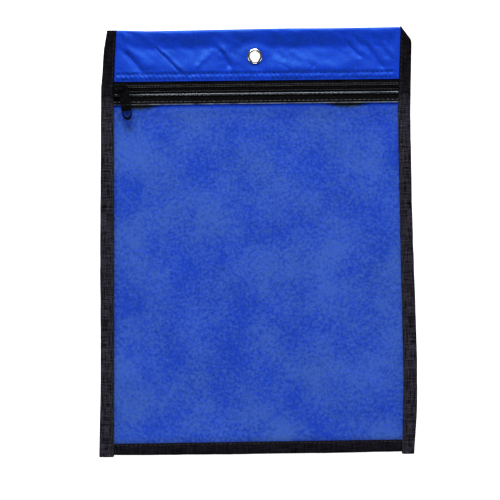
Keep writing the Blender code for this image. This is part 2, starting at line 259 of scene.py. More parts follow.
# how far the fold dips below the top, across the bag
FOLD_DIP = [(-120, 0.2), (-95, 1.2), (25, 0.0), (68, 0.3), (120, 0.0)]
DIP_FROM = 150.0
# header height by depth below the fold, and how strongly it shows across the bag
HEADER_ROLL = [
    (0, 0.7), (1.5, 1.25), (4.0, 1.25), (8, 0.3), (16.2, -1.75), (18, -1.6), (27, -0.35),
    (33, 0.55), (37, 0.8), (39.8, 0.0), (42.4, 0.1), (45.1, 0.0), (47, 0.0),
]
ROLL_STRENGTH = [
    (-140, 0.3), (-112, 0.3), (-96, 0.75), (-82, 0.7), (-70, 0.95), (-52, 1.15), (-38, 0.9),
    (-29, -0.1), (-22, 0.5), (-8, 1.1), (2, 0.8), (8, 0.9), (16, 1.3), (45, 1.4), (74, 1.15),
    (86, 0.6), (140, 0.35),
]
# creases: across and depth at each end, depth of the crease, half width
CREASES = [
    ((-120.5, 14.5), (-99.0, 39.0), 2.1, 2.7),
    ((-92.5, 11.0), (-66.0, 38.6), 1.25, 1.15),
    ((-33.0, 14.0), (-22.5, 34.5), 1.8, 2.1),
    ((-56.0, 39.0), (-37.0, 18.0), -0.6, 2.8),
    ((-117.5, 2.0), (-116.5, 18.0), 0.8, 1.3),
    ((78.0, 8.0), (94.0, 26.0), 0.95, 1.7),
    ((86.0, 6.0), (101.0, 22.0), 0.6, 1.5),
    ((95.0, 9.0), (114.0, 37.0), 1.5, 2.5),
    ((112.0, 11.0), (127.5, 29.0), -0.9, 2.6),
    ((20.0, 30.0), (34.0, 39.0), 0.3, 1.6),
    ((56.0, 31.0), (47.0, 39.0), 0.3, 1.5),
]
STITCH_PITCH = 4.2
NYLON_DEEP = (0.0018, 0.016, 0.310)
NYLON_BRIGHT = (0.0040, 0.032, 0.590)
NYLON_THREADS = 2100.0  # threads to the metre
NYLON_DRIFT, NYLON_GRAIN = 22.0, 430.0  # scales of its broad and fine unevenness
NYLON_SLUB = 1.6
CREASE_WAVER = 0.8
CREASE_IN, CREASE_OUT, CREASE_PAST = 3.0, 4.5, 1.12  # how fast it fades in and out, and where
CREASE_RIM = 0.45  # the low ridge beside each crease


def along(line, place, rounding=2.5):
    """A value read from a line of (place, value) pairs, rounded over at its corners."""
    stations, values = np.array(line, float).T
    shifts = np.linspace(-rounding, rounding, 7)
    return np.mean([np.interp(place + s, stations, values) for s in shifts], axis=0)


def soft_noise(x, y, cell_x, cell_y, seed):
    """Smooth random height from -1 to 1, in bumps of about one cell."""
    table_of = np.random.default_rng(seed).uniform(-1, 1, (257, 257))
    u, v = np.asarray(x) / cell_x + 131.3, np.asarray(y) / cell_y + 77.7
    i, j = np.floor(u).astype(int), np.floor(v).astype(int)
    a, b = u - i, v - j
    a, b = a * a * (3 - 2 * a), b * b * (3 - 2 * b)

    def at(p, q):
        return table_of[p % 257, q % 257]

    low = at(i, j) * (1 - a) + at(i + 1, j) * a
    high = at(i, j + 1) * (1 - a) + at(i + 1, j + 1) * a
    return low * (1 - b) + high * b


def bump(place, centre, half_width):
    return np.exp(-(((place - centre) / half_width) ** 2))


def crease(x, depth, start, stop, deep, half_width):
    """A pulled fold: a steep wall on its upper side and a slow rise below, fading at the ends."""
    run = np.array(stop, float) - np.array(start, float)
    length = math.hypot(*run)
    run = run / length
    share = ((x - start[0]) * run[0] + (depth - start[1]) * run[1]) / length
    off = (x - start[0]) * run[1] - (depth - start[1]) * run[0]
    off = off + CREASE_WAVER * soft_noise(share * length, off, 7.0, 40.0, int(abs(start[0])))
    fade = np.clip(share * CREASE_IN, 0, 1) * np.clip((CREASE_PAST - share) * CREASE_OUT, 0, 1)
    fade = fade * fade * (3 - 2 * fade)
    width = half_width * (0.6 + 0.6 * np.clip(share, 0, 1))
    shape = bump(off, 0.0, width) - CREASE_RIM * bump(off, 2.2 * width, 1.7 * width)
    return -deep * fade * shape


FOLD_CALM = 3.0  # depth below the fold over which the wrinkles come in
SWELL, SLANT_FOLDS, RUMPLE = 0.32, 0.34, 0.11  # heights of the broad, slanting and fine wrinkles
ROWS_SPREAD = 3.4
PUCKER, PLY_PULL = 0.26, 0.32
ROW_SINK, EDGE_SINK = 0.40, 0.25
HEM_SWELL, FACE_SWELL = 0.36, 0.20  # cloth that rises above each row
EYELET_HOLD_FROM, EYELET_HOLD_WIDTH = 6.5, 11.0
SIDE_HOLD, SIDE_HOLD_WIDTH = 127.5, 6.0


def header_relief(x, depth):
    """Height of the header's face over its flat place, by place across and depth below the fold."""
    relief = along(HEADER_ROLL, depth, 2.0) * along(ROLL_STRENGTH, x, 5.0)
    for start, stop, deep, half_width in CREASES:
        relief = relief + crease(x, depth, start, stop, deep, half_width)
    calm = np.clip(depth / FOLD_CALM, 0, 1)
    relief = relief + SWELL * soft_noise(x, depth, 13.0, 9.0, 3) * calm
    slanted = soft_noise(x + 0.9 * depth, depth - 0.75 * x, 17.0, 6.0, 6)
    relief = relief + SLANT_FOLDS * slanted * calm
    relief = relief + RUMPLE * soft_noise(x, depth, 5.0, 4.0, 4) * calm
    row_depth, edge_depth = TOP - upper_row, TOP - lower_row
    near_rows = bump(depth, (row_depth + edge_depth) / 2, ROWS_SPREAD)
    pucker = soft_noise(x + 0.5 * depth, depth, 2.7, 3.0, 5)
    ply = np.sin(2 * np.pi * (x - 0.55 * depth) / STITCH_PITCH)
    relief = relief + near_rows * (PUCKER * pucker + PLY_PULL * ply)
    pull = 0.75 + 0.25 * np.cos(2 * np.pi * x / STITCH_PITCH)
    relief = relief - ROW_SINK * pull * bump(depth, row_depth, 0.9)
    relief = relief - EDGE_SINK * bump(depth, edge_depth, 0.8)
    relief = relief + HEM_SWELL * bump(depth, edge_depth - 2.1, 1.4)
    relief = relief + FACE_SWELL * bump(depth, row_depth - 2.0, 1.2)
    far = np.hypot(x - EYELET[0], TOP - depth - EYELET[1])
    hold = np.clip((far - EYELET_HOLD_FROM) / EYELET_HOLD_WIDTH, 0, 1)
    hold = hold * np.clip((SIDE_HOLD - np.abs(x)) / SIDE_HOLD_WIDTH, 0, 1)
    return relief * hold * hold * (3 - 2 * hold)


BACK_WAVE, BACK_RIPPLE = 0.22, 0.10
BACK_LIFT = 0.95  # how far the seams hold the back up under the zipper's lower edge
BACK_LIFT_AT, BACK_LIFT_WIDTH = 120.5, 8.0


def back_relief(x, y):
    """Slow waves in the back where it lies on the table."""
    edge = np.clip((y - BOTTOM_CUT) / 18.0, 0, 1) * np.clip((TOP - y) / 10.0, 0, 1)
    lift = BACK_LIFT * np.exp(-(((y - BACK_LIFT_AT) / BACK_LIFT_WIDTH) ** 2))
    waves = BACK_WAVE * soft_noise(x, y, 46.0, 38.0, 8) + BACK_RIPPLE * soft_noise(x, y, 17.0, 21.0, 9)
    return edge * waves + lift


def layer_x(y, share):
    """Across place of a layer inside the binding, from share 0 at the left to 1 at the right."""
    left, right = along(LEFT_LINE, y) + LAYER_INSET, along(RIGHT_LINE, y) - LAYER_INSET
    return left + (right - left) * share


def round_hole(x, y, clear, calm, block):
    """Grid points round the eyelet pushed outwards so that the rim of the block of cells
    that is left out becomes a circle."""
    dx, dy = x - EYELET[0], y - EYELET[1]
    away = np.maximum(np.hypot(dx, dy), 1e-6)
    reach_x = np.where(dx > 0, dx[block].max(), -dx[block].min())
    reach_y = np.where(dy > 0, dy[block].max(), -dy[block].min())
    rim = 1.0 / np.maximum(np.abs(dx / away) / reach_x, np.abs(dy / away) / reach_y)
    moved = np.maximum(clear + (away - rim) * (calm - clear) / (calm - rim), clear)
    scale = np.where(away < calm, moved / away, 1.0)
    return EYELET[0] + dx * scale, EYELET[1] + dy * scale


def dipped(x, y):
    """The height up the bag after the fold's dip, fading out down the header."""
    return y - along(FOLD_DIP, x) * np.clip((y - DIP_FROM) / (TOP - DIP_FROM), 0, 1)


def mesh_piece(name, points, faces, uv=None):
    """A smooth mesh from points in millimetres, with cloth coordinates in metres if given."""
    used = np.unique(np.concatenate([np.asarray(f) for f in faces]))
    place = np.full(len(points), -1)
    place[used] = np.arange(len(used))
    data = bpy.data.meshes.new(name)
    data.from_pydata((np.asarray(points)[used] * MM).tolist(), [], [place[list(f)].tolist() for f in faces])
    if uv is not None:
        corner = np.empty(len(data.loops), int)
        data.loops.foreach_get("vertex_index", corner)
        layer = data.uv_layers.new(name="cloth")
        layer.data.foreach_set("uv", (np.asarray(uv)[used] * MM)[corner].astype(np.float32).ravel())
    data.shade_smooth()
    piece = bpy.data.objects.new(name, data)
    bpy.context.scene.collection.objects.link(piece)
    return piece


def activate(piece):
    """Nothing but this piece is selected and active."""
    bpy.ops.object.select_all(action="DESELECT")
    piece.select_set(True)
    bpy.context.view_layer.objects.active = piece


def apply_modifiers(piece):
    activate(piece)
    for modifier in list(piece.modifiers):
        bpy.ops.object.modifier_apply(modifier=modifier.name)


def give_wall(piece, thickness, round_edge=0.0):
    """Turns a sheet into a closed layer of that thickness in millimetres, its rim rounded if asked."""
    wall = piece.modifiers.new("wall", "SOLIDIFY")
    wall.thickness, wall.offset, wall.use_even_offset = thickness * MM, 0.0, True
    if round_edge:
        rim = piece.modifiers.new("rim", "BEVEL")
        rim.width, rim.segments, rim.limit_method = round_edge * MM, 2, "ANGLE"
        rim.angle_limit = math.radians(60)
    apply_modifiers(piece)
    piece.data.shade_smooth()


def grid_quads(rows, columns, first=0, skip=None):
    """Faces of a grid of points stored row by row, facing up when rows run to -Y."""
    quads = []
    for j in range(rows - 1):
        for i in range(columns - 1):
            if skip is None or not skip[j, i]:
                a = first + j * columns + i
                quads.append((a, a + columns, a + columns + 1, a + 1))
    return quads


def nylon_sheet():
    share = np.linspace(0, 1, COLUMNS + 1)
    back_share = share[::BACK_COLUMN_SHARE]

    # the back, from the bottom edge up to just below the fold
    fold_radius = (FACING_HEIGHT - BACK_HEIGHT) / 2
    fold_y = TOP - NYLON_WALL / 2 - fold_radius
    rows = int(round((fold_y - BOTTOM_CUT) / BACK_STEP))
    back_y = np.linspace(BOTTOM_CUT, fold_y, rows + 1)[:-1]
    grid_y = np.repeat(back_y[:, None], len(back_share), 1)
    grid_x = layer_x(grid_y, back_share[None, :])
    block_x = 2 * BACK_COLUMN_SHARE * 0.8
    near = back_y[np.argsort(np.abs(back_y - EYELET[1]))[:3]]
    block_y = (near.max() - near.min()) / 2
    inside = (np.abs(grid_x - EYELET[0]) < block_x + 0.1) & (np.abs(grid_y - EYELET[1]) < block_y + 2.0)
    skip = inside[:-1, :-1] & inside[1:, :-1] & inside[:-1, 1:] & inside[1:, 1:]
    hole_x, hole_y = round_hole(grid_x, grid_y, EYELET_CLEAR, EYELET_CALM, inside)
    back = np.stack([hole_x, dipped(hole_x, hole_y), BACK_HEIGHT + back_relief(hole_x, hole_y)], -1)
    back_uv = np.stack([hole_x, hole_y - BOTTOM_CUT], -1)

    # the fold, the header's face down to its lower edge, and the hem turned under
    turn = np.linspace(-np.pi / 2, np.pi / 2, 7)
    hem_turn = np.linspace(np.pi / 2, 3 * np.pi / 2, 6)
    face_y = np.linspace(fold_y, HEADER_EDGE + HEM_RADIUS, int(round((fold_y - HEADER_EDGE) / FACING_STEP)))
    hem_y = np.linspace(HEADER_EDGE + HEM_RADIUS, HEADER_EDGE + HEM, 8)
    section_y = np.concatenate([
        fold_y + fold_radius * np.cos(turn),
        face_y[1:],
        HEADER_EDGE + HEM_RADIUS + HEM_RADIUS * np.cos(hem_turn)[1:],
        hem_y[1:],
    ])
    section_z = np.concatenate([
        (FACING_HEIGHT + BACK_HEIGHT) / 2 + fold_radius * np.sin(turn),
        np.full(len(face_y) - 1, FACING_HEIGHT),
        FACING_HEIGHT - HEM_RADIUS + HEM_RADIUS * np.sin(hem_turn)[1:],
        np.full(len(hem_y) - 1, FACING_HEIGHT - 2 * HEM_RADIUS),
    ])
    face_rows = len(turn) + len(face_y) - 1
    length = np.concatenate([[0], np.cumsum(np.hypot(np.diff(section_y), np.diff(section_z)))])
    grid_y = np.repeat(section_y[:, None], len(share), 1)
    grid_x = layer_x(grid_y, share[None, :])
    on_face = np.arange(len(section_y))[:, None] < face_rows
    block = (
        (np.abs(grid_x - EYELET[0]) < EYELET_BLOCK)
        & (np.abs(grid_y - EYELET[1]) < EYELET_BLOCK)
        & on_face
    )
    face_skip = block[:-1, :-1] & block[1:, :-1] & block[:-1, 1:] & block[1:, 1:]
    hole_x, hole_y = round_hole(grid_x, grid_y, EYELET_CLEAR, EYELET_CALM, block)
    hole_x, hole_y = np.where(on_face, hole_x, grid_x), np.where(on_face, hole_y, grid_y)
    depth = TOP - hole_y
    rise = header_relief(hole_x, depth)
    under = np.arange(len(section_y))[:, None] < len(turn)
    rise = np.where(under, rise * np.clip((section_z[:, None] - 3.6) / 0.7, 0, 1), rise)
    face = np.stack([hole_x, dipped(hole_x, hole_y), section_z[:, None] + rise], -1)
    face_uv = np.stack([hole_x, np.repeat((length + fold_y - BOTTOM_CUT)[:, None], len(share), 1)], -1)

    # the back's rows run up and the face's rows run down, so the faces turn to match
    points = np.concatenate([back.reshape(-1, 3), face.reshape(-1, 3)])
    uv = np.concatenate([back_uv.reshape(-1, 2), face_uv.reshape(-1, 2)])
    first = back.shape[0] * back.shape[1]
    faces = grid_quads(back.shape[0], back.shape[1], 0, skip)
    faces += grid_quads(face.shape[0], face.shape[1], first, face_skip)
    last = (back.shape[0] - 1) * back.shape[1]
    for i in range(back.shape[1] - 1):
        seam = [first + i * BACK_COLUMN_SHARE + k for k in range(BACK_COLUMN_SHARE + 1)]
        faces.append((last + i, *seam, last + i + 1))
    piece = mesh_piece("nylon_back_and_header", points, faces, uv)
    give_wall(piece, NYLON_WALL)
    return piece


def weave_group():
    """Plain weave: threads over and under each other, with thicker and thinner threads."""
    group, entry, leave = new_group(
        "plain_weave",
        {"Vector": "Vector", "Threads": "Float", "Slub": "Float"},
        {"Height": "Float", "Shade": "Float"},
    )
    scaled = node(
        group,
        "ShaderNodeVectorMath",
        {0: entry.outputs["Vector"], "Scale": entry.outputs["Threads"]},
        operation="SCALE",
    )
    turned = node(
        group, "ShaderNodeVectorMath", {0: scaled.outputs[0], "Scale": math.pi}, operation="SCALE"
    )
    parts = node(group, "ShaderNodeSeparateXYZ", {0: turned.outputs[0]})
    warp = maths(group, "SINE", parts.outputs["X"])
    weft = maths(group, "SINE", parts.outputs["Y"])
    crossing = maths(group, "MULTIPLY", warp, weft)
    squeeze = node(
        group, "ShaderNodeMapping", {"Vector": scaled.outputs[0], "Scale": (0.06, 1.0, 1.0)}
    )
    lines = node(group, "ShaderNodeTexNoise", {"Vector": squeeze.outputs[0], "Scale": 1.0, "Detail": 1.0})
    squeeze_up = node(
        group, "ShaderNodeMapping", {"Vector": scaled.outputs[0], "Scale": (1.0, 0.06, 1.0)}
    )
    lines_up = node(
        group, "ShaderNodeTexNoise", {"Vector": squeeze_up.outputs[0], "Scale": 1.0, "Detail": 1.0}
    )
    slubs = maths(group, "ADD", lines.outputs["Fac"], lines_up.outputs["Fac"])
    centred = maths(group, "SUBTRACT", slubs, 1.0)
    shade = maths(group, "MULTIPLY_ADD", centred, entry.outputs["Slub"], 0.5, clamp=True)
    height = maths(group, "MULTIPLY_ADD", crossing, 0.5, shade)
    group.links.new(height, leave.inputs["Height"])
    group.links.new(shade, leave.inputs["Shade"])
    return group


PLAIN_WEAVE = weave_group()


def sheet_place(tree):
    """The piece's own cloth coordinates: metres across and along the cut sheet."""
    return node(tree, "ShaderNodeTexCoord").outputs["UV"]


def nylon_material():
    made, tree, shader = material(
        "royal_blue_nylon",
        {
            "Specular IOR Level": 0.70,
            "Specular Tint": (0.12, 0.62, 1.0, 1.0),
        },
    )
    place = sheet_place(tree)
    weave = effect(tree, PLAIN_WEAVE, {"Vector": place, "Threads": NYLON_THREADS, "Slub": NYLON_SLUB})
    drift = effect(tree, UNEVEN_TONE, {"Vector": place, "Scale": NYLON_DRIFT, "Contrast": 1.2})
    grain = effect(tree, UNEVEN_TONE, {"Vector": place, "Scale": NYLON_GRAIN, "Contrast": 3.2})
    soft = maths(tree, "ADD", drift.outputs["Mask"], grain.outputs["Mask"])
    mixed = maths(tree, "ADD", soft, weave.outputs["Shade"])
    share = maths(tree, "MULTIPLY", mixed, 1 / 3)
    colour = ramp(tree, share, [(0.22, NYLON_DEEP), (0.78, NYLON_BRIGHT)])
    rough = rescale(tree, share, (0.58, 0.50))
    relief = raised(tree, weave.outputs["Height"], 0.5, 0.06)
    feed(tree, shader, {"Base Color": colour, "Roughness": rough, "Normal": relief})
    return made


nylon = nylon_sheet()
nylon.data.materials.append(nylon_material())
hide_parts("back_panel")
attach(nylon, "bag")

# Zipper tapes ------------------------------------------------------------------------
# Two black woven polyester tapes side by side, the upper one sewn under the header's
# edge and the lower one behind the window. The lower tape's free edge droops in two
# places, black tape that also stands in for the shade of the dark lens under the window's seam.

chain = np.mean([c[1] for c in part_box("upper_coil")] + [c[1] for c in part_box("lower_coil")]) / MM
TAPE_HALF = 13.2
TAPE_SLOT = 0.42
TAPE_WALL = 0.42
TAPE_HEIGHT = 3.45
TAPE_COLUMNS = 231
TAPE_ROWS = 17
# these droops also put black tape where the seam casts a dark shaded lens
DARK_LENS_DROOPS = [(-100.0, 21.0, 3.4, -0.8), (82.0, 23.0, 3.3, 0.0)]  # across, half length, drop, skew
TAPE_BLACK = (0.0010, 0.0009, 0.0011)
# colour of the painted glints on the tape's filaments
TAPE_GLINT = (0.0105, 0.0095, 0.0115)
TAPE_THREADS = 1700.0  # threads to the metre
TAPE_RIBS, TAPE_SPARKLE = 260.0, 1500.0  # scales of the crosswise ribs and the painted filament glints
TAPE_COVER = 0.54
NOWHERE = (9.0, 9.1)  # metres up the bag, well past its end, for cloth with no dimmed part
CLOTH_DIMMED = 0.2  # share of its weave tone and painted glints kept where the cloth is dimmed as painted shade
CLOTH_SLUB = 2.2
CLOTH_BASE = 0.22  # how much of the weave shows between the painted glints
RIB_HEIGHT = 0.8


def dark_lens_droop(x):
    """How far the lower tape's free edge hangs below its line, black tape that also stands in for shade
    there.
    """
    fall = 0.0
    for centre, half, drop, skew in DARK_LENS_DROOPS:
        share = np.clip((x - centre) / half, -1, 1)
        fall = fall + drop * (1 - share**2) ** 1.5 * (1 + skew * share)
    return fall


def zipper_tape(name, side):
    share = np.linspace(0, 1, TAPE_COLUMNS)
    rows = np.linspace(0, 1, TAPE_ROWS)
    x = np.repeat(layer_x(np.full(1, chain), share)[None, :], TAPE_ROWS, 0)
    reach = TAPE_HALF - TAPE_SLOT + (dark_lens_droop(x) if side < 0 else 0.0)
    reach = reach + 0.12 * soft_noise(x, 0 * x, 14.0, 1.0, 21)
    off = TAPE_SLOT + rows[:, None] * reach
    height = TAPE_HEIGHT + 0.07 * soft_noise(x, off, 9.0, 5.0, 22) * np.clip(rows[:, None] * 3, 0, 1)
    height = height + 0.10 * bump(off, TAPE_SLOT + reach, 0.6)
    points = np.stack([x, chain + side * off, height], -1)
    if side > 0:
        points = points[::-1]
    uv = np.stack([x, points[..., 1]], -1)
    piece = mesh_piece(name, points.reshape(-1, 3), grid_quads(TAPE_ROWS, TAPE_COLUMNS), uv.reshape(-1, 2))
    give_wall(piece, TAPE_WALL)
    return piece


def sparkle_group():
    """Tiny bright filaments that catch the light here and there: a mask from 0 to 1."""
    group, entry, leave = new_group(
        "filament_sparkle",
        {"Vector": "Vector", "Scale": "Float", "Cover": "Float"},
        {"Mask": "Float"},
    )
    stretched = node(
        group, "ShaderNodeMapping", {"Vector": entry.outputs["Vector"], "Scale": (1.0, 1.6, 1.0)}
    )
    noise = node(
        group,
        "ShaderNodeTexNoise",
        {"Vector": stretched.outputs[0], "Scale": entry.outputs["Scale"], "Detail": 2.0},
    )
    above = maths(group, "SUBTRACT", noise.outputs["Fac"], entry.outputs["Cover"])
    mask = maths(group, "MULTIPLY", above, 5.0, clamp=True)
    group.links.new(mask, leave.inputs["Mask"])
    return group


FILAMENT_SPARKLE = sparkle_group()


def black_cloth(name, dark, light, counts, cover, sockets, wear_and_shade=NOWHERE):
    """Black woven ribbon: weave, crosswise ribs and painted glints on its filaments, all dimmed above a
    given height as painted shade.
    """
    threads, ribs, sparkle_scale = counts
    made, tree, shader = material(name, {"Roughness": 0.6, **sockets})
    place = sheet_place(tree)
    weave = effect(tree, PLAIN_WEAVE, {"Vector": place, "Threads": threads, "Slub": CLOTH_SLUB})
    rib = node(
        tree,
        "ShaderNodeTexWave",
        {"Vector": place, "Scale": ribs, "Distortion": 0.6, "Detail": 1.0},
        wave_type="BANDS",
        bands_direction="Y",
    )
    sparkle = effect(
        tree, FILAMENT_SPARKLE, {"Vector": place, "Scale": sparkle_scale, "Cover": cover}
    )
    # painted glints where the filaments would catch the light
    lit = maths(tree, "MULTIPLY", weave.outputs["Shade"], sparkle.outputs["Mask"])
    faint = maths(tree, "MULTIPLY_ADD", weave.outputs["Shade"], CLOTH_BASE, lit)
    # above the given span the tone and painted glints are dimmed: painted shade
    level = node(tree, "ShaderNodeSeparateXYZ", {0: object_place(tree)})
    shade_dimming = rescale(tree, level.outputs["Y"], (1.0, CLOTH_DIMMED), wear_and_shade)
    shown = maths(tree, "MULTIPLY", faint, shade_dimming)
    colour = ramp(tree, shown, [(0.0, dark), (0.75, light)])
    height = maths(tree, "MULTIPLY_ADD", rib.outputs["Fac"], RIB_HEIGHT, weave.outputs["Height"])
    relief = raised(tree, height, 0.6, 0.12)
    feed(tree, shader, {"Base Color": colour, "Normal": relief})
    return made


tape_cloth = black_cloth(
    "black_zipper_tape", TAPE_BLACK, TAPE_GLINT, (TAPE_THREADS, TAPE_RIBS, TAPE_SPARKLE), TAPE_COVER,
    {"Specular IOR Level": 0.03},
)
for label, side in (("upper", 1), ("lower", -1)):
    tape = zipper_tape(label + "_woven_tape", side)
    tape.data.materials.append(tape_cloth)
    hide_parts(label + "_zipper_tape")
    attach(tape, "bag")

# Coils and their filler cords --------------------------------------------------------
# Each half of the chain is one black nylon monofilament wound into a flat coil round
# a twisted filler cord. The two coils hook into each other half a turn apart.

COIL_REACH = 134.0
COIL_PITCH = 1.42
COIL_STEPS = 12
COIL_SIDES = 5
COIL_WIRE = 0.30
COIL_MID, COIL_HALF_ACROSS = 1.33, 1.50
COIL_HEIGHT, COIL_HALF_UP = 5.0, 0.70
COIL_SQUARE = 0.72
COIL_BLACK = (0.0007, 0.0007, 0.0009)
COIL_GREY = (0.0025, 0.0025, 0.003)
CORD_TWIST = 2.6
CORD_SIDES = 9
BINDING_INNER = 127.7


def tube(name, path, out, radius, sides):
    """A round strand along a path; out points away from the strand's inner side."""
    run = np.gradient(path, axis=0)
    run /= np.linalg.norm(run, axis=1)[:, None]
    out = out - (out * run).sum(1)[:, None] * run
    out /= np.linalg.norm(out, axis=1)[:, None]
    over = np.cross(run, out)
    turn = 2 * np.pi * np.arange(sides) / sides
    radius = np.broadcast_to(radius, (len(path), sides))
    ring = np.cos(turn)[None, :, None] * out[:, None] + np.sin(turn)[None, :, None] * over[:, None]
    points = (path[:, None] + radius[..., None] * ring).reshape(-1, 3)
    faces = []
    for j in range(len(path) - 1):
        for i in range(sides):
            a, b = j * sides + i, j * sides + (i + 1) % sides
            faces.append((a, b, b + sides, a + sides))
    faces.append(tuple(range(sides - 1, -1, -1)))
    faces.append(tuple(len(points) - sides + i for i in range(sides)))
    turns = np.repeat(np.cumsum(np.r_[0, np.linalg.norm(np.diff(path, axis=0), axis=1)]), sides)
    uv = np.stack([np.tile(turn, len(path)), turns], -1)
    return mesh_piece(name, points, faces, uv)


def coil_half(name, side):
    steps = np.arange(int(2 * COIL_REACH / COIL_PITCH) * COIL_STEPS + 1)
    turn = 2 * np.pi * steps / COIL_STEPS
    x = -COIL_REACH + COIL_PITCH * (steps / COIL_STEPS + (0.5 if side < 0 else 0.0))
    across = np.sign(np.cos(turn)) * np.abs(np.cos(turn)) ** COIL_SQUARE
    up = np.sign(np.sin(turn)) * np.abs(np.sin(turn)) ** COIL_SQUARE
    flat = np.clip((np.abs(x) - BINDING_INNER + 1.5) / 4.0, 0, 1)
    y = chain + side * (COIL_MID + COIL_HALF_ACROSS * across)
    low = COIL_HEIGHT - COIL_HALF_UP
    z = low + (COIL_HALF_UP + COIL_HALF_UP * up) * (1 - 0.45 * flat)
    out = np.stack([0 * x, side * across / COIL_HALF_ACROSS, up / COIL_HALF_UP], -1)
    return tube(name, np.stack([x, y, z], -1), out, COIL_WIRE, COIL_SIDES)


def filler_cord(name, side, node_name):
    low, high = (np.array(c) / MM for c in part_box(node_name))
    x = np.arange(low[0], high[0], 0.7)
    middle = (low + high) / 2
    path = np.stack([x, np.full(len(x), middle[1]), np.full(len(x), middle[2])], -1)
    turn = 2 * np.pi * np.arange(CORD_SIDES) / CORD_SIDES
    radius = (high[2] - low[2]) / 2 * (0.88 + 0.12 * np.cos(3 * (turn[None, :] - CORD_TWIST * x[:, None])))
    return tube(name, path, np.tile([0.0, 0.0, 1.0], (len(x), 1)), radius, CORD_SIDES)


def coil_material():
    made, tree, shader = material(
        "black_monofilament", {"Specular IOR Level": 0.10}
    )
    place = object_place(tree)
    streak = effect(tree, UNEVEN_TONE, {"Vector": place, "Scale": 900.0, "Contrast": 2.0})
    rough = rescale(tree, streak.outputs["Mask"], (0.24, 0.42))
    colour = ramp(tree, streak.outputs["Mask"], [(0.2, COIL_BLACK), (0.9, COIL_GREY)])
    relief = raised(tree, streak.outputs["Mask"], 0.2, 0.05)
    feed(tree, shader, {"Base Color": colour, "Roughness": rough, "Normal": relief})
    return made


monofilament = coil_material()
for label, side in (("upper", 1), ("lower", -1)):
    coil = coil_half(label + "_wound_coil", side)
    coil.data.materials.append(monofilament)
    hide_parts(label + "_coil")
    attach(coil, "bag")
    cord = filler_cord(label + "_filler_cord", side, label + "_coil_cord")
    cord.data.materials.append(tape_cloth)
    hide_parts(label + "_coil_cord")
    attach(cord, "bag")

# Coil stitching ----------------------------------------------------------------------
# Black polyester thread sews each coil to its tape: one row over the coil's legs and
# one beside them on the tape. One stitch is modelled, then laid along each row.

STITCH_SEGMENTS = (-0.34, 0.0, 0.34)
COIL_STITCH_PITCH = 2 * COIL_PITCH
COIL_STITCH_ROWS = ((1.95, 5.80), (3.68, 4.05))  # from the chain's centre, height
COIL_STITCH_RADIUS = 0.2
THREAD_BLACK = (0.006, 0.0058, 0.0062)
# the black thread's grey is a painted gleam on its twist
THREAD_GLEAM_GREY = (0.18, 0.176, 0.188)


def model_stitch(length, radius, sink):
    """One stitch along X: a short strand arched over the cloth, its ends drawn down into it."""
    bpy.ops.object.select_all(action="DESELECT")
    bpy.ops.mesh.primitive_cylinder_add(
        vertices=6, radius=radius * MM, depth=length * MM, rotation=(0, math.pi / 2, 0)
    )
    piece = bpy.context.object
    bpy.ops.object.transform_apply(location=True, rotation=True, scale=True)
    bpy.ops.object.mode_set(mode="EDIT")
    for share in STITCH_SEGMENTS:
        bpy.ops.mesh.select_all(action="SELECT")
        bpy.ops.mesh.bisect(plane_co=(share * length * MM, 0, 0), plane_no=(1, 0, 0))
    bpy.ops.object.mode_set(mode="OBJECT")
    points = np.array([v.co for v in piece.data.vertices]) / MM
    faces = [tuple(f.vertices) for f in piece.data.polygons]
    bpy.data.objects.remove(piece, do_unlink=True)
    share = np.abs(points[:, 0]) / (length / 2)
    points[:, 1:] *= (1 - 0.35 * share**2)[:, None]
    points[:, 2] -= sink * share**2.2
    return points, faces


def sew(name, rows, stitch, seed=0):
    """Copies of a stitch laid along rows of (place, direction), joined as one seam."""
    shape, faces = stitch
    rng = np.random.default_rng(seed)
    points, all_faces = [], []
    for place, run in rows:
        for p, t in zip(place, run):
            t = t / np.linalg.norm(t)
            side = np.cross([0.0, 0.0, 1.0], t)
            side /= np.linalg.norm(side)
            up = np.cross(t, side)
            wobble = rng.normal(0, 0.035, 2)
            copy = p + shape[:, :1] * t + (shape[:, 1:2] + wobble[0] + wobble[1] * shape[:, :1]) * side
            copy = copy + shape[:, 2:] * up
            first = len(points) * len(shape)
            points.append(copy)
            all_faces += [tuple(first + k for k in f) for f in faces]
    points = np.concatenate(points)
    return mesh_piece(name, points, all_faces, points[:, :2])


def straight_row(y, z, start, stop, pitch):
    """Stitch places along X at one line, z a height or a height for each place."""
    x = np.arange(start + pitch / 2, stop, pitch)
    place = np.stack([x, np.full(len(x), y), np.broadcast_to(z(x) if callable(z) else z, len(x))], -1)
    return place, np.tile([1.0, 0.0, 0.0], (len(x), 1))


def thread_material(name, dark, light, sockets=None):
    """Two-ply sewing thread: a twist across the strand and a soft gleam."""
    made, tree, shader = material(name, {"Roughness": 0.5, "Specular IOR Level": 0.35, **(sockets or {})})
    place = object_place(tree)
    twist = node(
        tree,
        "ShaderNodeTexWave",
        {"Vector": place, "Scale": 900.0, "Distortion": 1.5, "Detail": 1.0},
        bands_direction="DIAGONAL",
    )
    tone = effect(tree, UNEVEN_TONE, {"Vector": place, "Scale": 350.0, "Contrast": 2.0})
    mixed = maths(tree, "MULTIPLY", twist.outputs["Fac"], tone.outputs["Mask"])
    # the light colour lies on the twist's bands; on the black thread it is a painted gleam
    colour = ramp(tree, mixed, [(0.0, dark), (0.7, light)])
    relief = raised(tree, twist.outputs["Fac"], 0.5, 0.08)
    feed(tree, shader, {"Base Color": colour, "Normal": relief})
    return made


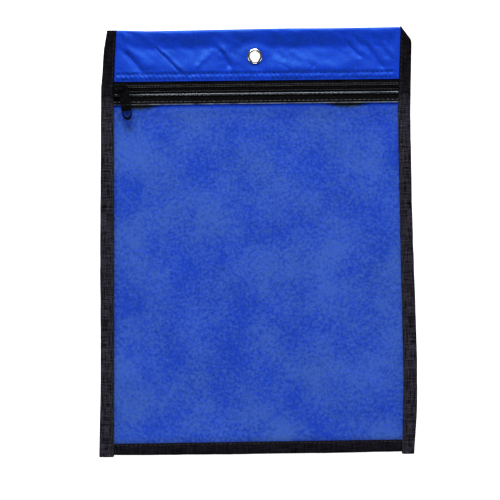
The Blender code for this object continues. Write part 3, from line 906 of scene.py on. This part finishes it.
black_thread = thread_material("black_polyester_thread", THREAD_BLACK, THREAD_GLEAM_GREY)
coil_stitch = model_stitch(0.86 * COIL_STITCH_PITCH, COIL_STITCH_RADIUS, 0.28)
for label, side in (("upper", 1), ("lower", -1)):
    rows = [
        straight_row(chain + side * off, height, -BINDING_INNER, BINDING_INNER, COIL_STITCH_PITCH)
        for off, height in COIL_STITCH_ROWS
    ]
    seam = sew(label + "_coil_stitching", rows, coil_stitch, seed=31)
    seam.data.materials.append(black_thread)
    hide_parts(label + "_coil_thread")
    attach(seam, "bag")

# Slider ------------------------------------------------------------------------------
# A zinc casting: two wings joined by a neck, guide flanges and a bail, enamelled black.
# Its cast edges are rounded, and the enamel has thinned in small scattered spots.

CAST_ROUND = 0.30
ENAMEL_BLACK = (0.0012, 0.0011, 0.0013)
ENAMEL_WORN = (0.035, 0.035, 0.037)


def cast_copy(name, node_name, rounding):
    """A CAD piece's own shape as one welded mesh with rounded edges."""
    piece = bpy.data.objects.new(name, frame["nodes"][node_name].data.copy())
    bpy.context.scene.collection.objects.link(piece)
    piece.data.materials.clear()
    activate(piece)
    bpy.ops.object.mode_set(mode="EDIT")
    bpy.ops.mesh.select_all(action="SELECT")
    bpy.ops.mesh.remove_doubles(threshold=0.00001)
    bpy.ops.mesh.dissolve_limited(angle_limit=math.radians(1))
    bpy.ops.object.mode_set(mode="OBJECT")
    if rounding:
        edge = piece.modifiers.new("cast_edge", "BEVEL")
        edge.width, edge.segments, edge.limit_method = rounding * MM, 3, "ANGLE"
        edge.angle_limit = math.radians(35)
        apply_modifiers(piece)
    return piece


def smooth_by_angle(piece, degrees=40):
    activate(piece)
    bpy.ops.object.shade_smooth_by_angle(angle=math.radians(degrees))


def enamel_material():
    made, tree, shader = material(
        "black_enamel", {"Specular IOR Level": 0.12, "Coat Weight": 0.15, "Coat Roughness": 0.08}
    )
    place = object_place(tree)
    orange = effect(tree, UNEVEN_TONE, {"Vector": place, "Scale": 700.0, "Contrast": 1.6})
    wear = effect(tree, FILAMENT_SPARKLE, {"Vector": place, "Scale": 420.0, "Cover": 0.66})
    colour = ramp(tree, wear.outputs["Mask"], [(0.0, ENAMEL_BLACK), (1.0, ENAMEL_WORN)])
    rough = rescale(tree, orange.outputs["Mask"], (0.22, 0.36))
    relief = raised(tree, orange.outputs["Mask"], 0.15, 0.05)
    feed(tree, shader, {"Base Color": colour, "Roughness": rough, "Normal": relief})
    return made


enamel = enamel_material()
slider = cast_copy("slider_casting", "slider_body", CAST_ROUND)
smooth_by_angle(slider)
slider.data.materials.append(enamel)
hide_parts("slider_body")
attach(slider, "slider")

# Pull tab ----------------------------------------------------------------------------
# A flat black tab with a round eye over the bail and a ring end. The ring end is
# thicker than the strip, with a step between them.

PULL_STEP_AT = 13.7
PULL_STEP_RISE = 0.42


def pull_piece():
    piece = cast_copy("pull_tab_ring", "pull_tab", 0)
    pivot = Vector(next(j for j in frame["joints"] if j["name"] == "pull_swing")["pos_m"])
    points = [v.co.copy() for v in piece.data.vertices]
    tip = min(points, key=lambda p: p.y)
    low_tip = [p for p in points if p.y < tip.y + 1.0 * MM]
    middle = sum(low_tip, Vector()) / len(low_tip)
    run = (middle - pivot).normalized()
    activate(piece)
    bpy.ops.object.mode_set(mode="EDIT")
    bpy.ops.mesh.select_all(action="SELECT")
    bpy.ops.mesh.bisect(plane_co=pivot + run * PULL_STEP_AT * MM, plane_no=run)
    bpy.ops.object.mode_set(mode="OBJECT")
    bpy.ops.object.mode_set(mode="EDIT")
    bpy.ops.mesh.select_all(action="DESELECT")
    bpy.ops.mesh.select_mode(type="FACE")
    bpy.ops.object.mode_set(mode="OBJECT")
    for face in piece.data.polygons:
        beyond = (face.center - pivot).dot(run) > PULL_STEP_AT * MM
        face.select = beyond and face.normal.z > 0.9
    bpy.ops.object.mode_set(mode="EDIT")
    bpy.ops.mesh.extrude_region_move(TRANSFORM_OT_translate={"value": (0, 0, PULL_STEP_RISE * MM)})
    bpy.ops.object.mode_set(mode="OBJECT")
    edge = piece.modifiers.new("cast_edge", "BEVEL")
    edge.width, edge.segments, edge.limit_method = 0.2 * MM, 3, "ANGLE"
    edge.angle_limit = math.radians(35)
    apply_modifiers(piece)
    return piece


pull = pull_piece()
smooth_by_angle(pull)
pull.data.materials.append(enamel)
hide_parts("pull_tab")
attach(pull, "pull")

# Window ------------------------------------------------------------------------------
# Clear flexible vinyl over the whole front below the chain. It lies against the back,
# rippling a little. Over the pocket its faint bluish haze is also a painted sheen, and
# its cut top edge and the crease over the tape's edge carry painted highlights.

window_low, window_high = (np.array(c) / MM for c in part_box("front_window"))
window_rows = [np.mean([c[1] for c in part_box(n)]) / MM for n in ("window_upper_seam", "window_lower_seam")]
VINYL_WALL = 0.36
VINYL_HEIGHT = 4.2
VINYL_SAG = 0.9
VINYL_STEP_X, VINYL_STEP_Y, VINYL_SEAM_STEP = 2.4, 2.4, 0.25
VINYL_BOWED = [(-109.0, 7.0), (108.0, 6.0)]  # where the cut edge bows down: across, half length
VINYL_BOW = 0.9
VINYL_BOW_WIDTH = 1.5
VINYL_EDGE_ROUND = 0.12
# the vinyl's faint haze: its bluish colour is also a painted sheen that lifts the window's tone, as the
# vinyl's reflection would
VINYL_HAZE_AND_SHEEN = (0.34, 0.72, 1.0)
# whitish colour of the painted highlight along the cut top edge
VINYL_EDGE_HIGHLIGHT = (0.62, 0.64, 0.70)
VINYL_CREASE_AT = 123.35
VINYL_CURL = 0.55
VINYL_SIDES, VINYL_SIDE_HOLD = 128.0, 26.0  # where the sides are held, and how far that shows
VINYL_FOOT, VINYL_FOOT_HOLD, VINYL_SEAM_HOLD = 178.0, 24.0, 14.0
VINYL_RIPPLE, VINYL_CRINKLE = 0.34, 0.16
VINYL_RIDGE = 0.22
POCKET_FROM = (0.1190, 0.1212)  # faint haze and painted sheen below the first place, in metres, none above the second
# the crease over the tape's lower edge carries a painted highlight: its width in metres, then how white it
# gets
CREASE_WIDTH = (0.0001, 0.0006)
CREASE_HIGHLIGHT = (0.02, 0.20)
EDGE_HIGHLIGHT_FROM, EDGE_HIGHLIGHT_FULL = 0.55, 0.05  # how far below the cut edge the painted highlight starts and is full
EDGE_HIGHLIGHT_ALPHA = 0.8
VINYL_SCUFF, VINYL_GRAIN, VINYL_BREAKS = 22.0, 420.0, 90.0  # scales of its scuffs and grain, which pattern the haze and painted sheen, and of the breaks in the crease's painted highlight
SHINE_POWER = 5.0
HAZE_SHEEN_SPAN, HAZE_SHEEN_ALPHA = (0.55, 1.5), (0.012, 0.062)


def window_height(x, y):
    """Height of the vinyl's middle: held at the edges and seams, slack between them."""
    slack = np.clip((VINYL_SIDES + x) / VINYL_SIDE_HOLD, 0, 1)
    slack = slack * np.clip((VINYL_SIDES - x) / VINYL_SIDE_HOLD, 0, 1)
    slack = slack * np.clip((window_rows[1] - 1.5 - y) / VINYL_SEAM_HOLD, 0, 1)
    slack = slack * np.clip((y + VINYL_FOOT) / VINYL_FOOT_HOLD, 0, 1)
    slack = slack * slack * (3 - 2 * slack)
    ripple = VINYL_RIPPLE * soft_noise(x + 0.3 * y, y, 58.0, 44.0, 41)
    ripple = ripple + VINYL_CRINKLE * soft_noise(x, y, 21.0, 33.0, 42)
    curl = VINYL_CURL * np.clip((y - window_rows[0]) / (window_high[1] - window_rows[0]), 0, 1) ** 1.5
    ridge = VINYL_RIDGE * bump(y, VINYL_CREASE_AT, 0.8)
    bowed = sum(bump(x, centre, half) for centre, half in VINYL_BOWED)
    rim = np.clip((y - window_high[1] + VINYL_BOW_WIDTH) / VINYL_BOW_WIDTH, 0, 1)
    curl = curl - VINYL_BOW * bowed * rim * rim
    return VINYL_HEIGHT - VINYL_SAG * slack + ripple * np.clip(slack * 3, 0, 1) + curl + ridge


def window_sheet():
    columns = int((window_high[0] - window_low[0]) / VINYL_STEP_X)
    seam_y = np.arange(window_high[1], VINYL_CREASE_AT - 3.0, -VINYL_SEAM_STEP)
    rows = int((seam_y[-1] - BOTTOM_CUT) / VINYL_STEP_Y)
    y = np.append(seam_y[:-1], np.linspace(seam_y[-1], BOTTOM_CUT, rows))
    grid_y = np.repeat(y[:, None], columns + 1, 1)
    grid_x = layer_x(grid_y, np.linspace(0, 1, columns + 1)[None, :])
    points = np.stack([grid_x, grid_y, window_height(grid_x, grid_y)], -1)
    uv = points[..., :2].reshape(-1, 2)
    quads = grid_quads(len(y), columns + 1)
    piece = mesh_piece("clear_vinyl_window", points.reshape(-1, 3), quads, uv)
    give_wall(piece, VINYL_WALL, VINYL_EDGE_ROUND)
    return piece


def vinyl_material():
    made, tree, shader = material(
        "clear_vinyl",
        {
            "Specular IOR Level": 0.5,
            "Coat Weight": 1.0,
            "Coat Roughness": 0.06,
        },
    )
    place = object_place(tree)
    parts = node(tree, "ShaderNodeSeparateXYZ", {0: place})
    # painted highlight: the cut top edge is turned whitish and more opaque, as where it catches the light
    edge_highlight = rescale(
        tree,
        parts.outputs["Y"],
        (0.0, 1.0),
        ((window_high[1] - EDGE_HIGHLIGHT_FROM) * MM, (window_high[1] - EDGE_HIGHLIGHT_FULL) * MM),
    )
    pocket = rescale(tree, parts.outputs["Y"], (1.0, 0.0), POCKET_FROM)
    # painted highlight along the crease over the tape's lower edge, broken here and there
    from_crease = maths(tree, "SUBTRACT", parts.outputs["Y"], VINYL_CREASE_AT * MM)
    near_crease = maths(tree, "ABSOLUTE", from_crease)
    crease_highlight_line = rescale(tree, near_crease, (1.0, 0.0), CREASE_WIDTH)
    broken = effect(tree, UNEVEN_TONE, {"Vector": place, "Scale": VINYL_BREAKS, "Contrast": 3.0})
    highlight_breaks = rescale(tree, broken.outputs["Mask"], CREASE_HIGHLIGHT)
    crease_highlight_mask = maths(tree, "MULTIPLY", crease_highlight_line, highlight_breaks)
    # haze over the pocket, patchy with scuffs and grain, which also serves as painted sheen
    scuff = effect(tree, UNEVEN_TONE, {"Vector": place, "Scale": VINYL_SCUFF, "Contrast": 2.4})
    grain = effect(tree, UNEVEN_TONE, {"Vector": place, "Scale": VINYL_GRAIN, "Contrast": 2.6})
    scuffs_and_grain = maths(tree, "ADD", scuff.outputs["Mask"], grain.outputs["Mask"])
    haze_sheen_alpha = rescale(tree, scuffs_and_grain, HAZE_SHEEN_ALPHA, HAZE_SHEEN_SPAN)
    pocket_haze_sheen = maths(tree, "MULTIPLY", haze_sheen_alpha, pocket)
    haze_sheen_and_crease = maths(tree, "ADD", pocket_haze_sheen, crease_highlight_mask)
    slant = node(tree, "ShaderNodeLayerWeight", {"Blend": 0.5})
    shine = maths(tree, "POWER", slant.outputs["Facing"], SHINE_POWER, clamp=True)
    body = maths(tree, "ADD", haze_sheen_and_crease, shine)
    edge = maths(tree, "MULTIPLY_ADD", edge_highlight, EDGE_HIGHLIGHT_ALPHA, body, clamp=True)
    # the colour turns whitish under both painted highlights
    painted_highlights = maths(tree, "MAXIMUM", edge_highlight, crease_highlight_line)
    colour = ramp(tree, painted_highlights, [(0.0, VINYL_HAZE_AND_SHEEN), (1.0, VINYL_EDGE_HIGHLIGHT)])
    rough = rescale(tree, scuff.outputs["Mask"], (0.12, 0.26))
    relief = raised(tree, grain.outputs["Mask"], 0.06, 0.05)
    feed(tree, shader, {"Base Color": colour, "Alpha": edge, "Roughness": rough, "Normal": relief})
    return made


window = window_sheet()
window.data.materials.append(vinyl_material())
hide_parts("front_window")
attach(window, "bag")

# Window and header seams -------------------------------------------------------------
# Lockstitched rows: black thread through the window and the lower tape, blue thread
# through the header, its hem and the upper tape.

SEAM_RADIUS = 0.25
SEAM_REACH = 127.2
BLUE_THREAD_DARK = (0.002, 0.012, 0.10)
BLUE_THREAD_LIGHT = (0.007, 0.038, 0.28)

seam_stitch = model_stitch(0.84 * STITCH_PITCH, SEAM_RADIUS, 0.42)
for label, y in zip(("upper", "lower"), window_rows):
    top = lambda x, y=y: window_height(x, y) + VINYL_WALL / 2 + 0.16
    row = straight_row(y, top, -SEAM_REACH, SEAM_REACH, STITCH_PITCH)
    seam = sew("window_" + label + "_stitching", [row], seam_stitch, 51)
    seam.data.materials.append(black_thread)
    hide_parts("window_" + label + "_seam")
    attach(seam, "bag")

blue_thread = thread_material(
    "blue_polyester_thread", BLUE_THREAD_DARK, BLUE_THREAD_LIGHT, {"Specular IOR Level": 0.1}
)
for label, y in (("upper", upper_row), ("lower", lower_row)):
    top = lambda x, y=y: FACING_HEIGHT + header_relief(x, TOP - y) + NYLON_WALL / 2 + 0.10
    row = straight_row(y, top, -SEAM_REACH + 2, SEAM_REACH, STITCH_PITCH)
    seam = sew("header_" + label + "_stitching", [row], seam_stitch, 52)
    seam.data.materials.append(blue_thread)
    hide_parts("header_" + label + "_seam")
    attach(seam, "bag")

# Eyelet and washer -------------------------------------------------------------------
# A nickel plated brass eyelet set through both layers of the header: a domed flange in
# front, a barrel, and a lip rolled out over a washer behind.

EYELET_STEPS = 72
# (radius, height) round the wall's section, in order
EYELET_PROFILE = [
    (4.42, 0.55), (4.40, 4.60), (4.50, 5.15), (4.78, 5.52), (5.20, 5.68), (5.70, 5.66),
    (6.25, 5.45), (6.70, 5.10), (6.95, 4.78), (6.90, 4.70), (6.62, 4.80), (6.20, 5.08),
    (5.70, 5.30), (5.30, 5.28), (4.98, 5.05), (4.90, 4.60), (4.90, 0.62), (5.02, 0.42),
    (5.60, 0.40), (5.92, 0.30), (5.96, 0.12), (5.80, 0.02), (4.95, 0.03), (4.55, 0.20),
]
WASHER_PROFILE = [
    (5.20, 0.78), (5.28, 0.70), (6.90, 0.70), (7.00, 0.78),
    (7.00, 1.02), (6.90, 1.10), (5.28, 1.10), (5.20, 1.02),
]
NICKEL = (0.74, 0.73, 0.71)
NICKEL_DULL = (0.45, 0.44, 0.43)


def turned_ring(name, profile):
    """A ring drawn out from a circle, step by step round its section, then closed on itself."""
    centre = (EYELET[0] * MM, EYELET[1] * MM, 0)
    radius, height = profile[0]
    bpy.ops.object.select_all(action="DESELECT")
    bpy.ops.mesh.primitive_circle_add(
        vertices=EYELET_STEPS, radius=radius * MM, location=(*centre[:2], height * MM)
    )
    piece = bpy.context.object
    piece.name = piece.data.name = name
    bpy.ops.object.transform_apply(location=True, rotation=True, scale=True)
    bpy.ops.object.mode_set(mode="EDIT")
    bpy.ops.mesh.select_mode(type="EDGE")
    bpy.ops.mesh.select_all(action="SELECT")
    for (r0, z0), (r1, z1) in zip(profile, profile[1:]):
        bpy.ops.mesh.extrude_region_move(TRANSFORM_OT_translate={"value": (0, 0, (z1 - z0) * MM)})
        bpy.ops.transform.resize(value=(r1 / r0, r1 / r0, 1), center_override=centre)
    bpy.ops.mesh.select_all(action="DESELECT")
    bpy.ops.mesh.select_non_manifold()
    bpy.ops.mesh.bridge_edge_loops()
    bpy.ops.mesh.select_all(action="SELECT")
    bpy.ops.mesh.normals_make_consistent(inside=False)
    bpy.ops.object.mode_set(mode="OBJECT")
    piece.data.shade_smooth()
    return piece


def nickel_material():
    made, tree, shader = material("bright_nickel", {"Metallic": 1.0})
    place = object_place(tree)
    tarnish = effect(tree, UNEVEN_TONE, {"Vector": place, "Scale": 260.0, "Contrast": 1.8})
    nicks = effect(tree, FILAMENT_SPARKLE, {"Vector": place, "Scale": 1300.0, "Cover": 0.62})
    colour = ramp(tree, tarnish.outputs["Mask"], [(0.1, NICKEL_DULL), (0.6, NICKEL)])
    wear_and_shade = maths(tree, "MULTIPLY_ADD", nicks.outputs["Mask"], 0.2, tarnish.outputs["Mask"])
    rough = rescale(tree, wear_and_shade, (0.12, 0.26))
    relief = raised(tree, nicks.outputs["Mask"], 0.1, 0.03)
    feed(tree, shader, {"Base Color": colour, "Roughness": rough, "Normal": relief})
    return made


nickel = nickel_material()
for name, node_name, profile in (
    ("eyelet_flange", "eyelet", EYELET_PROFILE),
    ("eyelet_back_washer", "eyelet_washer", WASHER_PROFILE),
):
    ring = turned_ring(name, profile)
    ring.data.materials.append(nickel)
    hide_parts(node_name)
    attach(ring, "bag")

# Binding -----------------------------------------------------------------------------
# Black ribbed tape folded round the raw edges of all the layers, over the chain's ends,
# and sewn through with one row. The side strips run over the bottom strip's ends.

BINDING_WALL = 0.5
BINDING_TOP = 5.0
BINDING_LOW = 0.3
BINDING_STEP = 1.2
BINDING_ROW_IN = 1.6
CHAIN_BUMP = 1.15
LEFT_INNER = [(-190, -129.9), (-122, -129.1), (0, -127.6), (138, -126.3), (165, -125.1), (190, -123.2)]
RIGHT_INNER = [
    (-190, 127.6), (-122, 129.4), (0, 128.0), (115, 127.1), (138, 128.0), (165, 129.2), (191, 130.3),
]
BOTTOM_ENDS = (-132.2, 129.9)
ENDS_FLATTENED = 0.25
BOTTOM_INNER = [(-140, -179.1), (140, -177.9)]
BOTTOM_OUTER = [(-140, -189.2), (-110, -189.9), (0, -190.0), (60, -189.8), (140, -189.1)]
BINDING_DARK = (0.0016, 0.0013, 0.0016)
# colour of the painted glints on the binding's filaments
BINDING_GLINT = (0.105, 0.094, 0.135)
# dimmer painted glints for the bottom strip, so it shows darker than the sides
BINDING_BOTTOM_GLINT = (0.036, 0.032, 0.050)
BINDING_COUNTS = (1250.0, 180.0, 560.0)  # threads to the metre, then the rib and sparkle scales
SIDE_COVER, BOTTOM_COVER = 0.60, 0.62
BINDING_DIMMED = (0.118, 0.140)  # the side strips' painted glints are dimmed above here, beside the header, as painted shade
SIDE_ENDS = {"left": (-190.9, 189.8), "right": (-191.0, 191.0)}
LEG_CURL = 0.14
RUMPLED, ROW_DIMPLE = 0.14, 0.16
ROW_DEPTH = 0.12
UPPER_FROM, UPPER_SPAN = 2.65, 2.0  # heights over which the lower leg becomes the upper one
END_OVERLAP, END_STEP = 3.6, 1.2
DULL_THREAD_DARK = (0.002, 0.0018, 0.002)
DULL_THREAD_LIGHT = (0.022, 0.020, 0.023)


def strip_section(inner, outer, count_leg=9, count_turn=9):
    """The folded strip's middle line for each place along it: (across, height, distance)."""
    sign = np.sign(outer - inner)
    radius = (BINDING_TOP - BINDING_LOW) / 2
    rim = outer - sign * BINDING_WALL / 2
    share = np.linspace(0, 1, count_leg)[None, :]
    bend = np.linspace(np.pi / 2, -np.pi / 2, count_turn)[None, 1:-1]
    # narrow strips at the top are pinched, so the turn is never wider than the face
    depth = np.minimum(radius, 0.55 * np.abs(rim - inner))
    start = (rim - sign * depth)[:, None]
    leg = inner[:, None] + (start - inner[:, None]) * share
    across = np.concatenate([leg, start + sign[:, None] * depth[:, None] * np.cos(bend), leg[:, ::-1]], 1)
    middle = (BINDING_TOP + BINDING_LOW) / 2
    crown = 0.16 * np.sin(np.pi * share) + 0 * leg
    up = np.concatenate([
        BINDING_TOP - LEG_CURL + crown + LEG_CURL * share,
        middle + radius * np.sin(bend) + 0 * start,
        np.full_like(leg, BINDING_LOW),
    ], 1)
    step_across = np.diff(across, axis=1, prepend=across[:, :1])
    step_up = np.diff(up, axis=1, prepend=up[:, :1])
    distance = np.cumsum(np.hypot(step_across, step_up), 1)
    return across, up, distance


def binding_lift(y, across_share):
    """The upper leg rides over the chain's end and the zipper tapes' edges."""
    lift = CHAIN_BUMP * bump(y, chain, 3.6) + 0.22 * bump(y, chain, 13.0)
    lift = lift + 0.15 * bump(y, chain + 7.2, 1.2) + 0.12 * bump(y, chain - 4.2, 0.9)
    return lift * across_share


def side_strip(name, inner_line, outer_line, low, high, seed):
    y = np.arange(low, high + 0.01, BINDING_STEP)
    y = np.append(y[:-1], high)
    waver = 0.16 * soft_noise(y, 0 * y, 9.0, 1.0, seed)
    inner = along(inner_line, y) + waver
    outer = along(outer_line, y, 2.0) + 0.18 * soft_noise(y, 0 * y, 12.0, 1.0, seed + 1)
    across, up, distance = strip_section(inner, outer)
    grid_y = np.repeat(y[:, None], across.shape[1], 1)
    upper = np.clip((up - UPPER_FROM) / UPPER_SPAN, 0, 1)
    up = up + binding_lift(grid_y, upper)
    up = up + upper * RUMPLED * soft_noise(grid_y, across, 4.2, 4.0, seed + 2)
    row = inner + np.sign(outer - inner) * BINDING_ROW_IN
    up = up - upper * ROW_DIMPLE * bump(across, row[:, None], 0.9)
    points = np.stack([across, grid_y, up], -1)
    uv = np.stack([distance, grid_y], -1)
    if outer[0] > 0:
        points, uv = points[::-1], uv[::-1]
    piece = mesh_piece(name, points.reshape(-1, 3), grid_quads(*points.shape[:2]), uv.reshape(-1, 2))
    give_wall(piece, BINDING_WALL)
    row_height = BINDING_TOP + BINDING_WALL / 2 + binding_lift(y, 1.0) - ROW_DEPTH
    line = np.stack([row, y, row_height], -1)
    return piece, line


def bottom_strip(name):
    steps = int((BOTTOM_ENDS[1] - BOTTOM_ENDS[0]) / BINDING_STEP)
    x = np.linspace(*BOTTOM_ENDS, steps + 1)
    inner = along(BOTTOM_INNER, x) + 0.15 * soft_noise(x, 0 * x, 9.0, 1.0, 71)
    outer = along(BOTTOM_OUTER, x) + 0.15 * soft_noise(x, 0 * x, 12.0, 1.0, 72)
    across, up, distance = strip_section(inner, outer)
    grid_x = np.repeat(x[:, None], across.shape[1], 1)
    upper = np.clip((up - UPPER_FROM) / UPPER_SPAN, 0, 1)
    up = up + upper * RUMPLED * soft_noise(grid_x, across, 4.2, 4.0, 73)
    row = inner - BINDING_ROW_IN
    up = up - upper * ROW_DIMPLE * bump(across, row[:, None], 0.9)
    # the ends are flattened where the side strips run over them
    to_end = np.minimum(grid_x - BOTTOM_ENDS[0], BOTTOM_ENDS[1] - grid_x)
    flattened = 1.0 - ENDS_FLATTENED * np.clip((END_OVERLAP - to_end) / END_STEP, 0, 1)
    middle = (BINDING_TOP + BINDING_LOW) / 2
    up = middle + (up - middle) * flattened
    points = np.stack([grid_x, across, up], -1)
    uv = np.stack([distance, grid_x], -1)
    piece = mesh_piece(name, points.reshape(-1, 3), grid_quads(*points.shape[:2]), uv.reshape(-1, 2))
    give_wall(piece, BINDING_WALL)
    line = np.stack([x, row, np.full(len(x), BINDING_TOP + BINDING_WALL / 2 - ROW_DEPTH)], -1)
    return piece, line


def row_along(line, start, stop):
    """Stitch places every pitch along a line of points, between two shares of its length."""
    length = np.r_[0, np.cumsum(np.linalg.norm(np.diff(line, axis=0), axis=1))]
    at = np.arange(start * length[-1] + STITCH_PITCH / 2, stop * length[-1], STITCH_PITCH)
    place = np.stack([np.interp(at, length, line[:, k]) for k in range(3)], -1)
    ahead = np.stack([np.interp(at + 1.0, length, line[:, k]) for k in range(3)], -1)
    behind = np.stack([np.interp(at - 1.0, length, line[:, k]) for k in range(3)], -1)
    return place, ahead - behind


binding_cloth = black_cloth(
    "black_ribbed_binding", BINDING_DARK, BINDING_GLINT, BINDING_COUNTS, SIDE_COVER,
    {"Specular IOR Level": 0.01}, BINDING_DIMMED,
)
# the bottom strip: a darker copy of the binding, its painted glints dimmer and fewer
bottom_cloth = black_cloth(
    "black_bottom_binding", BINDING_DARK, BINDING_BOTTOM_GLINT, BINDING_COUNTS, BOTTOM_COVER,
    {"Specular IOR Level": 0.01},
)
dull_thread = thread_material("dull_black_thread", DULL_THREAD_DARK, DULL_THREAD_LIGHT)
strips = {
    "left": side_strip("left_folded_binding", LEFT_INNER, LEFT_LINE, *SIDE_ENDS["left"], 81),
    "right": side_strip("right_folded_binding", RIGHT_INNER, RIGHT_LINE, *SIDE_ENDS["right"], 91),
    "bottom": bottom_strip("bottom_folded_binding"),
}
for label, (strip, line) in strips.items():
    strip.data.materials.append(bottom_cloth if label == "bottom" else binding_cloth)
    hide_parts(label + "_binding")
    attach(strip, "bag")
    seam = sew(label + "_binding_stitching", [row_along(line, 0.014, 0.986)], seam_stitch, 61)
    seam.data.materials.append(dull_thread)
    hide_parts(label + "_binding_seam")
    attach(seam, "bag")
